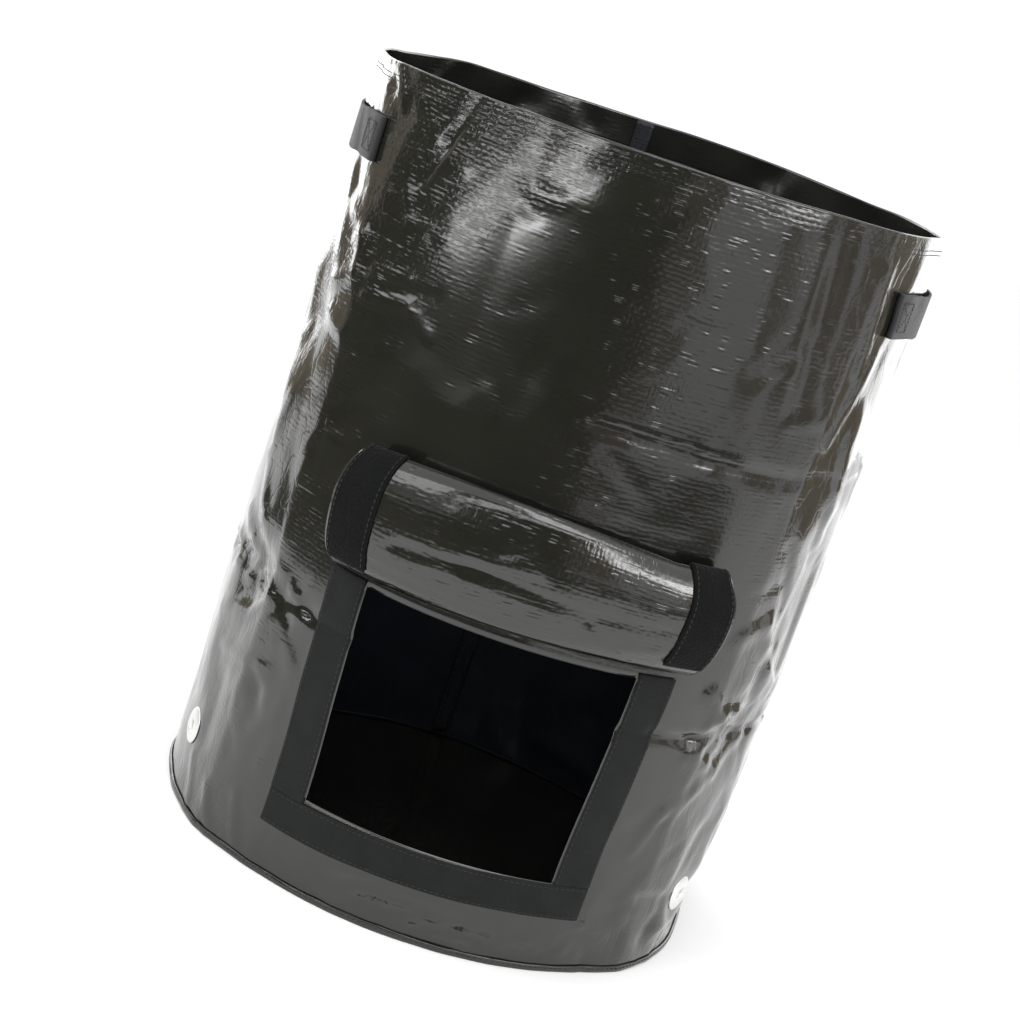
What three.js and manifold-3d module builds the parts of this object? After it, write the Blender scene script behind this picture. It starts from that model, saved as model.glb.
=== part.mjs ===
// A potato grow bag: a round tube of coated woven cloth on a sewn base, with a folded hem,
// two webbing handles, drain eyelets, and a harvest window whose flap is folded up and back.
// Units are millimetres. +Z is up and the window faces -Y. The origin is the middle of the
// base's underside. An azimuth is an angle in degrees from the window round towards +X.

import * as THREE from "three";
import Module from "manifold-3d";

const wasm = await Module();
wasm.setup();

const DEGREE = Math.PI / 180;

// The cloth tube and its seams
const BAG_HEIGHT = 450;
const RIM_RADIUS = 170;
const CLOTH = 1.5;
const GAP = 0.3;
const HEM_HEIGHT = 12;
const HEM_STEP = 2;
const BASE_SEAM_HEIGHT = 7;
const BASE_SEAM_THICKNESS = 2;
const BACK_SEAM_AZIMUTH = -174.5;
const BACK_SEAM_WIDTH = 12;
const BACK_SEAM_THICKNESS = 1.5;

// The harvest window and the loop tape round it
const WINDOW_WIDTH = 154;
const WINDOW_HEIGHT = 129;
const SILL_TAPE_CLEARANCE = 23;
const TAPE_WIDTH = 24;
const TAPE_THICKNESS = 1.6;

// The flap, folded up against the wall above the window
const FLAP_WIDTH = 216;
const FLAP_CLEARANCE = 6;
const SIDE_TAPE_CLEARANCE = 3;
const FOLDED_HEIGHT = 70;
const FOLDED_DEPTH = 20;
const FLAP_END_LIFT = 5;
const FLAP_TAPE_MARGIN = 2;

// The handles
const HANDLE_DROP = 44;
const HANDLE_WIDTH = 25;
const HANDLE_LENGTH = 184;
const HANDLE_THICKNESS = 1.6;
const HANDLE_END = 28;
const HANDLE_END_STEP = 3;
const HANDLE_SLACK = 9;
const HANDLE_PEAK = 0.66;

// The drain eyelets
const EYELET_HEIGHT = 42;
const EYELET_AZIMUTH = 65;
const EYELET_RADIUS = 11;
const EYELET_BORE = 4;
const EYELET_WALL = 1.2;
const WASHER_RADIUS = 9.5;
const WASHER_THICKNESS = 1;
const EYELET_CROWN = 1.6;
const EYELET_MARGIN = 1.5;
const EYELET_SIDES = 14;

// How finely the cloth is divided
const COLUMN_STEP = 5;
const ROW_STEP = 34;
const FLAP_STEP = 7;
const SMALLEST_STEP = 0.9;

// Outline of the tube, from the base to the rim, as shares of its height and rim radius
const WALL_SECTIONS = [
  { height: 0, radius: 0.986 },
  { height: 0.04, radius: 0.982 },
  { height: 0.13, radius: 0.982 },
  { height: 0.28, radius: 0.992 },
  { height: 0.4, radius: 1 },
  { height: 1, radius: 1 },
];

// Standing creases that packing left, with how far each stands out as a share of the radius
const WALL_CREASES = [
  { azimuth: -49, azimuthAtRim: -63, stand: 0.02 },
  { azimuth: 49, azimuthAtRim: 50, stand: 0.016 },
  { azimuth: 131, azimuthAtRim: 131, stand: 0.016 },
  { azimuth: -131, azimuthAtRim: -131, stand: 0.016 },
];
const CREASE_SPREAD = 9;
const CREASE_TURN = 0.62;

// Level folds that packing left, where the cloth turns in a little
const PACKING_FOLDS = [
  { height: 1 / 3, depth: 1.2 },
  { height: 0.69, depth: 0.8 },
];
const FOLD_SPAN = 6;

// Dents: middle and half size, as shares of the height and in degrees, and share of the radius
const WALL_DENTS = [
  { azimuth: -33, height: 0.86, halfWidth: 12, halfHeight: 0.12, depth: 0.016 },
  { azimuth: 4, height: 0.8, halfWidth: 20, halfHeight: 0.16, depth: 0.018 },
  { azimuth: -66, height: 0.66, halfWidth: 14, halfHeight: 0.1, depth: 0.022 },
  { azimuth: 64, height: 0.52, halfWidth: 13, halfHeight: 0.16, depth: 0.02 },
  { azimuth: 62, height: 0.33, halfWidth: 13, halfHeight: 0.09, depth: 0.026 },
  { azimuth: -57, height: 0.33, halfWidth: 13, halfHeight: 0.08, depth: 0.024 },
  { azimuth: 160, height: 0.55, halfWidth: 22, halfHeight: 0.2, depth: 0.02 },
  { azimuth: -150, height: 0.4, halfWidth: 18, halfHeight: 0.16, depth: 0.02 },
  { azimuth: -100, height: 0.42, halfWidth: 16, halfHeight: 0.18, depth: 0.016 },
  { azimuth: 104, height: 0.6, halfWidth: 16, halfHeight: 0.16, depth: 0.016 },
];

// Middle line of the folded flap, from its sewn edge round to its tip: how far out, as a share
// of the way to the front layer, how far up, as a share of the folded height, and whether the
// tape lies between it and the wall
const FLAP_FOLD = [
  { out: 0, up: 0.17, overTape: 0 },
  { out: 0, up: 0.07, overTape: 0 },
  { out: 0.18, up: 0.015, overTape: 0 },
  { out: 0.5, up: 0.03, overTape: 0 },
  { out: 0.82, up: 0.17, overTape: 0 },
  { out: 1, up: 0.42, overTape: 0 },
  { out: 0.93, up: 0.74, overTape: 0 },
  { out: 0.68, up: 0.94, overTape: 0 },
  { out: 0.4, up: 0.99, overTape: 0 },
  { out: 0.1, up: 0.9, overTape: 1 },
  { out: 0.06, up: 0.7, overTape: 1 },
  { out: 0.06, up: 0.3, overTape: 1 },
];

// Where the tape starts and ends along the flap, as shares of its length
const FLAP_TAPE_START = 0.16;
const FLAP_TAPE_END = 0.97;
const FLAP_END_TAPE_START = 0.84;

const windowSill = BASE_SEAM_HEIGHT + SILL_TAPE_CLEARANCE + TAPE_WIDTH;
const windowTop = windowSill + WINDOW_HEIGHT;
const foldedFlapFoot = windowTop + FLAP_CLEARANCE;
const eyeletFlat = EYELET_RADIUS + EYELET_MARGIN;

function arcAngle(length) {
  return length / RIM_RADIUS / DEGREE;
}

function turnBetween(a, b) {
  return Math.abs(((a - b + 540) % 360) - 180);
}

// The wall's outer surface

function outlineRadius(share) {
  const last = WALL_SECTIONS.length - 1;
  const above = WALL_SECTIONS.findIndex((section) => section.height > share);
  const k = above < 0 ? last : Math.max(above, 1);
  const [low, high] = [WALL_SECTIONS[k - 1], WALL_SECTIONS[k]];
  const rise = THREE.MathUtils.smoothstep(share, low.height, high.height);
  return THREE.MathUtils.lerp(low.radius, high.radius, rise);
}

function creaseStand(azimuth, share) {
  let stand = 0;
  for (const crease of WALL_CREASES) {
    const rise = THREE.MathUtils.smoothstep(share, CREASE_TURN, 1);
    const middle = THREE.MathUtils.lerp(crease.azimuth, crease.azimuthAtRim, rise);
    stand += crease.stand * Math.exp(-turnBetween(azimuth, middle) / CREASE_SPREAD);
  }
  return stand;
}

function dentDepth(azimuth, share) {
  let depth = 0;
  for (const dent of WALL_DENTS) {
    const across = turnBetween(azimuth, dent.azimuth) / dent.halfWidth;
    const along = Math.abs(share - dent.height) / dent.halfHeight;
    if (across < 1 && along < 1)
      depth += dent.depth * Math.cos((across * Math.PI) / 2) ** 2 * Math.cos((along * Math.PI) / 2) ** 2;
  }
  return depth;
}

function foldDepth(height) {
  let depth = 0;
  for (const fold of PACKING_FOLDS) {
    const off = Math.abs(height - fold.height * BAG_HEIGHT) / FOLD_SPAN;
    depth += fold.depth * Math.max(0, 1 - off);
  }
  return depth;
}

// The radius where the level folds are left out, and the true one
function formRadius(azimuth, height) {
  const share = height / BAG_HEIGHT;
  return RIM_RADIUS * (outlineRadius(share) + creaseStand(azimuth, share) - dentDepth(azimuth, share));
}

function wallRadius(azimuth, height) {
  return formRadius(azimuth, height) - foldDepth(height);
}

function wallThickness(height) {
  return height > BAG_HEIGHT - HEM_HEIGHT - HEM_STEP / 2 ? 2 * CLOTH : CLOTH;
}

function polarPoint(azimuth, radius, height) {
  const turn = azimuth * DEGREE;
  return new THREE.Vector3(radius * Math.sin(turn), -radius * Math.cos(turn), height);
}

function wallPoint(azimuth, height, out) {
  return polarPoint(azimuth, wallRadius(azimuth, height) + out, height);
}

// Sorted values with the fixed ones kept, and others added so that no step is over the largest
function divided(fixed, largest) {
  const sorted = [...fixed].sort((a, b) => a - b);
  const kept = sorted.filter((value, k) => k === 0 || value - sorted[k - 1] > SMALLEST_STEP);
  const values = [kept[0]];
  for (let k = 1; k < kept.length; k += 1) {
    const steps = Math.max(1, Math.round((kept[k] - kept[k - 1]) / largest));
    for (let n = 1; n <= steps; n += 1)
      values.push(THREE.MathUtils.lerp(kept[k - 1], kept[k], n / steps));
  }
  return values;
}

const eyeletAzimuths = [EYELET_AZIMUTH, 180 - EYELET_AZIMUTH];
const eyeletFlatAngle = arcAngle(eyeletFlat);

function wallHeights() {
  const folds = PACKING_FOLDS.flatMap((fold) => {
    const middle = fold.height * BAG_HEIGHT;
    return [middle - FOLD_SPAN, middle, middle + FOLD_SPAN];
  });
  const hem = BAG_HEIGHT - HEM_HEIGHT;
  const eyelets = [EYELET_HEIGHT - eyeletFlat, EYELET_HEIGHT + eyeletFlat];
  const window = [windowSill, windowTop];
  const ends = [0, BASE_SEAM_HEIGHT, hem - HEM_STEP, hem, BAG_HEIGHT];
  return divided([...ends, ...eyelets, ...window, ...folds], ROW_STEP);
}

function wallAzimuths() {
  const half = arcAngle(WINDOW_WIDTH / 2);
  const edge = half + arcAngle(TAPE_WIDTH);
  const fixed = [-edge, -half, half, edge];
  for (const azimuth of eyeletAzimuths)
    for (const side of [-1, 1])
      fixed.push(side * azimuth - eyeletFlatAngle, side * azimuth + eyeletFlatAngle);
  const values = divided([-180, ...fixed, 180], COLUMN_STEP);
  const onFlat = (value) =>
    eyeletAzimuths.some((azimuth) => Math.abs(Math.abs(value) - azimuth) < eyeletFlatAngle - SMALLEST_STEP);
  return values.slice(0, -1).filter((value) => !onFlat(value));
}

const rowHeights = wallHeights();
const columnAzimuths = wallAzimuths();

// The values from low to high, with both of these in the place of any that nearly meets them
function between(values, low, high) {
  const inside = values.filter((value) => value > low + SMALLEST_STEP && value < high - SMALLEST_STEP);
  return [low, ...inside, high];
}

// A closed sheet from a grid of points on its two faces: front(i, j) looks out when i runs
// towards +X and j runs up. Cells that keep() turns down are left open.
function sheetGeometry({ columns, rows, front, back, wrap = false, keep = () => true }) {
  const cellColumns = wrap ? columns : columns - 1;
  const positions = [];
  for (const face of [front, back])
    for (let i = 0; i < columns; i += 1)
      for (let j = 0; j < rows; j += 1) positions.push(...face(i, j).toArray());
  const id = (side, i, j) => side * columns * rows + (i % columns) * rows + j;
  const kept = (i, j) => {
    const column = wrap ? (i + cellColumns) % cellColumns : i;
    return column >= 0 && column < cellColumns && j >= 0 && j < rows - 1 && keep(column, j);
  };
  const index = [];
  const quad = (a, b, c, d) => index.push(a, b, c, a, c, d);
  for (let i = 0; i < cellColumns; i += 1)
    for (let j = 0; j < rows - 1; j += 1) {
      if (!kept(i, j)) continue;
      quad(id(0, i, j), id(0, i + 1, j), id(0, i + 1, j + 1), id(0, i, j + 1));
      quad(id(1, i, j + 1), id(1, i + 1, j + 1), id(1, i + 1, j), id(1, i, j));
      const edges = [
        { beside: [i, j - 1], from: [i, j], to: [i + 1, j] },
        { beside: [i + 1, j], from: [i + 1, j], to: [i + 1, j + 1] },
        { beside: [i, j + 1], from: [i + 1, j + 1], to: [i, j + 1] },
        { beside: [i - 1, j], from: [i, j + 1], to: [i, j] },
      ];
      for (const { beside, from, to } of edges)
        if (!kept(...beside)) quad(id(0, ...to), id(0, ...from), id(1, ...from), id(1, ...to));
    }
  const geometry = new THREE.BufferGeometry();
  geometry.setAttribute("position", new THREE.Float32BufferAttribute(positions, 3));
  geometry.setIndex(index);
  return trimmed(geometry);
}

// The geometry without the points that no face uses
function trimmed(geometry) {
  const source = geometry.getAttribute("position");
  const order = new Map();
  const index = [...geometry.index.array].map((old) => {
    if (!order.has(old)) order.set(old, order.size);
    return order.get(old);
  });
  const points = [...order.keys()].map((old) => new THREE.Vector3().fromBufferAttribute(source, old));
  const positions = points.flatMap((point) => point.toArray());
  const clean = new THREE.BufferGeometry();
  clean.setAttribute("position", new THREE.Float32BufferAttribute(positions, 3));
  clean.setIndex(index);
  return clean;
}

// A patch that lies on the wall, from one distance out to another
function wallPatch(azimuths, heights, inner, outer) {
  return sheetGeometry({
    columns: azimuths.length,
    rows: heights.length,
    front: (i, j) => wallPoint(azimuths[i], heights[j], outer(heights[j])),
    back: (i, j) => wallPoint(azimuths[i], heights[j], inner(heights[j])),
  });
}

// Boolean cuts

function manifoldOf(geometry) {
  return new wasm.Manifold(
    new wasm.Mesh({
      numProp: 3,
      vertProperties: new Float32Array(geometry.getAttribute("position").array),
      triVerts: new Uint32Array(geometry.index.array),
    }),
  );
}

function geometryOf(manifold) {
  const mesh = manifold.getMesh();
  const geometry = new THREE.BufferGeometry();
  geometry.setAttribute("position", new THREE.Float32BufferAttribute(mesh.vertProperties, 3));
  geometry.setIndex([...mesh.triVerts]);
  return geometry;
}

// The flat facet of the wall that an eyelet grips: its middle and the way it faces
function eyeletSeat(azimuth) {
  const corner = (across, up) =>
    wallPoint(azimuth + across * eyeletFlatAngle, EYELET_HEIGHT + up * eyeletFlat, 0);
  const [a, b, c, d] = [corner(-1, -1), corner(1, -1), corner(1, 1), corner(-1, 1)];
  const facing = c.clone().sub(a).cross(d.clone().sub(b)).normalize();
  const middle = a.add(b).add(c).add(d).multiplyScalar(0.25);
  return { middle, facing };
}

function turnedOut(geometry, seat) {
  const turn = new THREE.Quaternion().setFromUnitVectors(new THREE.Vector3(0, 1, 0), seat.facing);
  return geometry.applyQuaternion(turn).translate(seat.middle.x, seat.middle.y, seat.middle.z);
}

function eyeletHole(azimuth) {
  const radius = EYELET_BORE + EYELET_WALL + GAP;
  const reach = 6 * CLOTH;
  const profile = [
    new THREE.Vector2(0, -reach),
    new THREE.Vector2(radius, -reach),
    new THREE.Vector2(radius, reach),
    new THREE.Vector2(0, reach),
  ];
  const lathe = new THREE.LatheGeometry(profile, EYELET_SIDES);
  return turnedOut(weldedPositions(lathe), eyeletSeat(azimuth));
}

// A lathe's points with those at one place made one
function weldedPositions(geometry) {
  const source = geometry.getAttribute("position");
  const found = new Map();
  const positions = [];
  const at = [];
  for (let k = 0; k < source.count; k += 1) {
    const point = [source.getX(k), source.getY(k), source.getZ(k)];
    const key = point.map((value) => Math.round(value * 1e4)).join();
    if (!found.has(key)) {
      found.set(key, positions.length / 3);
      positions.push(...point);
    }
    at.push(found.get(key));
  }
  const index = [];
  for (let k = 0; k < geometry.index.count; k += 3) {
    const [a, b, c] = [0, 1, 2].map((n) => at[geometry.index.getX(k + n)]);
    if (a !== b && b !== c && c !== a) index.push(a, b, c);
  }
  const welded = new THREE.BufferGeometry();
  welded.setAttribute("position", new THREE.Float32BufferAttribute(positions, 3));
  welded.setIndex(index);
  return welded;
}

// The cloth tube, open at the rim and at the window, with a hole for each eyelet
function bagWall() {
  const half = arcAngle(WINDOW_WIDTH / 2);
  const inWindow = (i, j) => {
    const azimuth = (columnAzimuths[i] + (columnAzimuths[i + 1] ?? 180)) / 2;
    const height = (rowHeights[j] + rowHeights[j + 1]) / 2;
    return Math.abs(azimuth) < half && height > windowSill && height < windowTop;
  };
  const tube = sheetGeometry({
    columns: columnAzimuths.length,
    rows: rowHeights.length,
    wrap: true,
    front: (i, j) => wallPoint(columnAzimuths[i], rowHeights[j], 0),
    back: (i, j) => wallPoint(columnAzimuths[i], rowHeights[j], -wallThickness(rowHeights[j])),
    keep: (i, j) => !inWindow(i, j),
  });
  let wall = manifoldOf(tube);
  for (const azimuth of eyeletAzimuths)
    for (const side of [-1, 1]) wall = wall.subtract(manifoldOf(eyeletHole(side * azimuth)));
  return geometryOf(wall);
}

// The base: a flat round of the same cloth that fits inside the tube's foot
function bagBase() {
  const outline = new THREE.Shape(
    columnAzimuths.map((azimuth) => {
      const point = wallPoint(azimuth, 0, -CLOTH - GAP);
      return new THREE.Vector2(point.x, point.y);
    }),
  );
  return new THREE.ExtrudeGeometry(outline, { depth: CLOTH, bevelEnabled: false });
}

// The sewn edge where the tube's foot and the base are turned out together
function baseSeam() {
  const heights = [0, BASE_SEAM_HEIGHT];
  return sheetGeometry({
    columns: columnAzimuths.length,
    rows: heights.length,
    wrap: true,
    front: (i, j) => wallPoint(columnAzimuths[i], heights[j], GAP + BASE_SEAM_THICKNESS),
    back: (i, j) => wallPoint(columnAzimuths[i], heights[j], GAP),
  });
}

// The tube's own seam, turned to the inside at the back
function backSeam() {
  const half = arcAngle(BACK_SEAM_WIDTH / 2);
  const foot = CLOTH + GAP;
  return wallPatch(
    between(columnAzimuths, BACK_SEAM_AZIMUTH - half, BACK_SEAM_AZIMUTH + half),
    between(rowHeights, foot, BAG_HEIGHT - GAP),
    (height) => -wallThickness(height) - GAP - BACK_SEAM_THICKNESS,
    (height) => -wallThickness(height) - GAP,
  );
}

// The loop tape beside the window
function sideTape(side) {
  const inner = arcAngle(WINDOW_WIDTH / 2);
  const outer = inner + arcAngle(TAPE_WIDTH);
  const [low, high] = side < 0 ? [-outer, -inner] : [inner, outer];
  return wallPatch(
    between(columnAzimuths, low, high),
    between(rowHeights, windowSill + GAP, foldedFlapFoot - SIDE_TAPE_CLEARANCE),
    () => GAP,
    () => GAP + TAPE_THICKNESS,
  );
}

// The loop tape below the window, as wide as the window and its two side tapes
function sillTape() {
  const outer = arcAngle(WINDOW_WIDTH / 2 + TAPE_WIDTH);
  return wallPatch(
    between(columnAzimuths, -outer, outer),
    between(rowHeights, windowSill - TAPE_WIDTH, windowSill),
    () => GAP,
    () => GAP + TAPE_THICKNESS,
  );
}

// The folded flap

const flapHalfAngle = arcAngle(FLAP_WIDTH / 2);
const frontLayer = FOLDED_DEPTH - TAPE_THICKNESS - GAP - CLOTH / 2;
const flapLine = new THREE.CatmullRomCurve3(
  FLAP_FOLD.map(({ out, up, overTape }) => {
    const lies = 2 * GAP + overTape * (TAPE_THICKNESS + GAP) + CLOTH / 2;
    return new THREE.Vector3(THREE.MathUtils.lerp(lies, frontLayer, out), up * FOLDED_HEIGHT, 0);
  }),
);
const flapLength = flapLine.getLength();

// A point of the flap: how far along its line, and how far off it to the side that faces the
// bag when the flap hangs closed
function flapPoint(azimuth, length, off) {
  const share = THREE.MathUtils.clamp(length / flapLength, 0, 1);
  const middle = flapLine.getPointAt(share);
  const along = flapLine.getTangentAt(share);
  const lift = FLAP_END_LIFT * (azimuth / flapHalfAngle) ** 2 * Math.min(1, middle.x / FOLDED_DEPTH);
  const out = middle.x + along.y * off + lift;
  const height = foldedFlapFoot + middle.y - along.x * off;
  return polarPoint(azimuth, formRadius(azimuth, height) + out, height);
}

const tapeNear = CLOTH / 2 + GAP;
const tapeFar = tapeNear + TAPE_THICKNESS;
const flapTapeOuter = flapHalfAngle - arcAngle(FLAP_TAPE_MARGIN);
const flapTapeInner = flapTapeOuter - arcAngle(TAPE_WIDTH);
const flapEndTapeHalf = flapTapeInner - arcAngle(GAP);

const flapAzimuths = divided(
  [-1, 1].flatMap((side) => [side * flapHalfAngle, side * flapTapeOuter, side * flapTapeInner]),
  COLUMN_STEP,
);
const flapLengths = divided(
  [0, FLAP_TAPE_START, FLAP_END_TAPE_START, FLAP_TAPE_END, 1].map((share) => share * flapLength),
  FLAP_STEP,
);

function flapPatch([low, high], [start, end], near, far) {
  const azimuths = between(flapAzimuths, low, high);
  const lengths = between(flapLengths, start * flapLength, end * flapLength);
  return sheetGeometry({
    columns: azimuths.length,
    rows: lengths.length,
    front: (i, j) => flapPoint(azimuths[i], lengths[j], far),
    back: (i, j) => flapPoint(azimuths[i], lengths[j], near),
  });
}

function flapCloth() {
  return flapPatch([-flapHalfAngle, flapHalfAngle], [0, 1], -CLOTH / 2, CLOTH / 2);
}

function flapSideTape(side) {
  const span = side < 0 ? [-flapTapeOuter, -flapTapeInner] : [flapTapeInner, flapTapeOuter];
  return flapPatch(span, [FLAP_TAPE_START, FLAP_TAPE_END], tapeNear, tapeFar);
}

function flapEndTape() {
  const stretch = [FLAP_END_TAPE_START, FLAP_TAPE_END];
  return flapPatch([-flapEndTapeHalf, flapEndTapeHalf], stretch, tapeNear, tapeFar);
}

// A handle: webbing sewn down at both ends, where it is turned under, and slack between them
function handleStrap(side) {
  const middle = BAG_HEIGHT - HANDLE_DROP;
  const heights = between(rowHeights, middle - HANDLE_WIDTH / 2, middle + HANDLE_WIDTH / 2);
  const half = arcAngle(HANDLE_LENGTH / 2);
  const sewn = half - arcAngle(HANDLE_END);
  const free = sewn - arcAngle(HANDLE_END_STEP);
  const centre = side * 90;
  const marks = [half, sewn, free].flatMap((angle) => [centre - angle, centre + angle]);
  const columns = between(columnAzimuths, centre - half, centre + half);
  const azimuths = divided([...columns, ...marks], COLUMN_STEP);
  const lift = (azimuth) => {
    const share = THREE.MathUtils.clamp((side * azimuth - 90 + free) / (2 * free), 0, 1);
    return HANDLE_SLACK * Math.sin(Math.PI * share ** (Math.log(0.5) / Math.log(HANDLE_PEAK))) ** 2;
  };
  const layers = (azimuth) => (Math.abs(azimuth - centre) > (sewn + free) / 2 ? 2 : 1);
  return sheetGeometry({
    columns: azimuths.length,
    rows: heights.length,
    front: (i, j) => {
      const out = GAP + lift(azimuths[i]) + layers(azimuths[i]) * HANDLE_THICKNESS;
      return wallPoint(azimuths[i], heights[j], out);
    },
    back: (i, j) => wallPoint(azimuths[i], heights[j], GAP + lift(azimuths[i])),
  });
}

// An eyelet: a domed flange outside, a barrel through the cloth, and a washer inside
function drainEyelet(azimuth) {
  const barrel = EYELET_BORE + EYELET_WALL;
  const washerFace = -CLOTH - GAP;
  const washerBack = washerFace - WASHER_THICKNESS;
  const crown = (barrel + EYELET_RADIUS) / 2;
  const profile = [
    [EYELET_BORE, washerBack],
    [WASHER_RADIUS, washerBack],
    [WASHER_RADIUS, washerFace],
    [barrel, washerFace],
    [barrel, GAP],
    [EYELET_RADIUS, GAP],
    [EYELET_RADIUS, GAP + EYELET_CROWN / 3],
    [crown, GAP + EYELET_CROWN],
    [EYELET_BORE, GAP + EYELET_CROWN / 2],
    [EYELET_BORE, washerBack],
  ].map(([radius, out]) => new THREE.Vector2(radius, out));
  return turnedOut(weldedPositions(new THREE.LatheGeometry(profile, EYELET_SIDES)), eyeletSeat(azimuth));
}

// Materials

const tarpaulin = new THREE.MeshStandardMaterial({ color: 0x23241f, roughness: 0.28, metalness: 0 });
const webbing = new THREE.MeshStandardMaterial({ color: 0x33342f, roughness: 0.8, metalness: 0 });
const loopTape = new THREE.MeshStandardMaterial({ color: 0x2a2c2d, roughness: 0.9, metalness: 0 });
const hookTape = new THREE.MeshStandardMaterial({ color: 0x1c1d20, roughness: 0.95, metalness: 0 });
const plated = new THREE.MeshStandardMaterial({ color: 0xe6e6e4, roughness: 0.25, metalness: 1 });

function piece(name, geometry, material) {
  const mesh = new THREE.Mesh(geometry, material);
  mesh.name = name;
  return mesh;
}

const bag = new THREE.Group();
bag.add(piece("bag_wall", bagWall(), tarpaulin));
bag.add(piece("bag_base", bagBase(), tarpaulin));
bag.add(piece("base_seam", baseSeam(), tarpaulin));
bag.add(piece("back_seam", backSeam(), tarpaulin));
bag.add(piece("sill_tape", sillTape(), loopTape));
bag.add(piece("flap", flapCloth(), tarpaulin));
bag.add(piece("flap_end_tape", flapEndTape(), hookTape));
for (const { name, side } of [
  { name: "left", side: -1 },
  { name: "right", side: 1 },
]) {
  bag.add(piece(`side_tape_${name}`, sideTape(side), loopTape));
  bag.add(piece(`flap_tape_${name}`, flapSideTape(side), hookTape));
  bag.add(piece(`handle_${name}`, handleStrap(side), webbing));
  bag.add(piece(`eyelet_front_${name}`, drainEyelet(side * EYELET_AZIMUTH), plated));
  bag.add(piece(`eyelet_rear_${name}`, drainEyelet(side * (180 - EYELET_AZIMUTH)), plated));
}

export default bag;
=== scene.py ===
"""Potato grow bag of woven tarpaulin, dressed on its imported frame."""

import math

import bpy
import numpy as np
from bpy.props import FloatProperty, FloatVectorProperty, PointerProperty
from mathutils import Matrix, Vector


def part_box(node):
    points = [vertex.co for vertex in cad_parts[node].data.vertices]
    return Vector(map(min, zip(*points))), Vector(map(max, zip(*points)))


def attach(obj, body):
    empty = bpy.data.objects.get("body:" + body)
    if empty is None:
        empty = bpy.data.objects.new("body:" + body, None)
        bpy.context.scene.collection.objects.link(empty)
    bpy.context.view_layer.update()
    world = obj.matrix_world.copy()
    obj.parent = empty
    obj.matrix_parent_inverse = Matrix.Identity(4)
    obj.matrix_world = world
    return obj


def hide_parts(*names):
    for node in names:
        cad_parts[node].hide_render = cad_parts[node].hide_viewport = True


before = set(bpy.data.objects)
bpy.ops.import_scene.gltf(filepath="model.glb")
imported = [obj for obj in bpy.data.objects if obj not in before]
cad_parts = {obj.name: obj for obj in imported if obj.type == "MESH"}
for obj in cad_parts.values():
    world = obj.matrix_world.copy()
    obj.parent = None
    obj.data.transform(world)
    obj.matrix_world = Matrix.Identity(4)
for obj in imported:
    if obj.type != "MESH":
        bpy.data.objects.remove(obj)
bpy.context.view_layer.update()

bl_info = {
    "name": "Potato grow bag",
    "version": (1, 0, 0),
    "blender": (4, 5, 0),
    "location": "View3D > Sidebar > Grow bag",
    "description": "Woven tarpaulin grow bag with a harvest window, built on its packed frame",
    "category": "Add Mesh",
}

BODY = "root"
MM = 0.001


def corners(node):
    """Lowest and highest corner of a CAD node, in millimetres"""
    low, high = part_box(node)
    return np.array(low) / MM, np.array(high) / MM


# The frame's own sizes, in millimetres, with azimuths in degrees from the window's middle

BAG_HEIGHT = corners("bag_wall")[1][2]
TAPE_FOOT = corners("sill_tape")[0][2]
WINDOW_SILL = corners("sill_tape")[1][2]
TAPE_HEAD = corners("side_tape_left")[1][2]
WINDOW_TOP = TAPE_HEAD - 3
HANDLE_FOOT, HANDLE_HEAD = (corner[2] for corner in corners("handle_left"))
EYELET_HEIGHT = sum(corner[2] for corner in corners("eyelet_front_left")) / 2
RIM_RADIUS = 170
ARC = RIM_RADIUS * math.pi / 180
GIRTH = 360 * ARC
SEAM_AZIMUTH = -174.5
WINDOW_HALF = 77 / ARC
TAPE_WIDTH = 24
TAPE_HALF = WINDOW_HALF + TAPE_WIDTH / ARC
SEWN_IN = 1.8
FLAP_SEWN_IN = 1.6
EYELETS = {"front_left": -65, "front_right": 65, "rear_left": -115, "rear_right": 115}
HEM_ROWS = (7.5, 10)
HANDLE_START = 59
HANDLE_SPAN = 184
HANDLE_SEWN = 28
BOX_IN, BOX_LENGTH, BOX_HALF = 4, 16, 8.2
EYELET_CUT = 6.5
SOFTENED_FROM = 50

# The wall's form: shares of the height and of the rim's radius. Standing creases: azimuth at the
# foot and at the rim, and the share of the radius that each stands out
WALL_OUTLINE = ((0, 0.986), (0.04, 0.982), (0.13, 0.982), (0.28, 0.992), (0.4, 1), (1, 1))
STANDING_CREASES = ((-49, -63, 0.02), (49, 50, 0.016), (131, 131, 0.004), (-131, -131, 0.004))
CREASE_SPREAD = 9
CREASE_TURN = 0.62

# Level folds from packing: height, depth and half width, and the azimuths that each runs between
PACKING_FOLDS = ((150, 1.5, 5, -180, 180), (309.5, 0.5, 4, 2, 100))

# Where the foot is pulled in: azimuth and height, how far that reaches in both, and its depth
FOOT_PULL = (86, 22, 30, 46, 5.5)

# The foot's lip in section: how far out it stands and how high, in millimetres
LIP_SECTION = np.array(
    (
        (0.1, 0.2),
        (0.9, 0.05),
        (1.3, 0.6),
        (1.4, 1.8),
        (1.2, 3.2),
        (1.25, 4.4),
        (0.9, 5.0),
        (0.3, 4.9),
        (0.05, 4.2),
        (-0.2, 2.4),
    )
)

# Dents: azimuth, share of the height, how far each reaches in both, and its share of the radius
WALL_DENTS = (
    (4, 0.8, 20, 0.16, 0.012),
    (-66, 0.66, 14, 0.1, 0.022),
    (64, 0.52, 13, 0.16, 0.02),
    (62, 0.33, 13, 0.09, 0.026),
    (-57, 0.33, 13, 0.08, 0.024),
    (160, 0.55, 22, 0.2, 0.02),
    (-150, 0.4, 18, 0.16, 0.02),
    (-100, 0.42, 16, 0.18, 0.016),
    (104, 0.6, 16, 0.16, 0.016),
)

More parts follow.
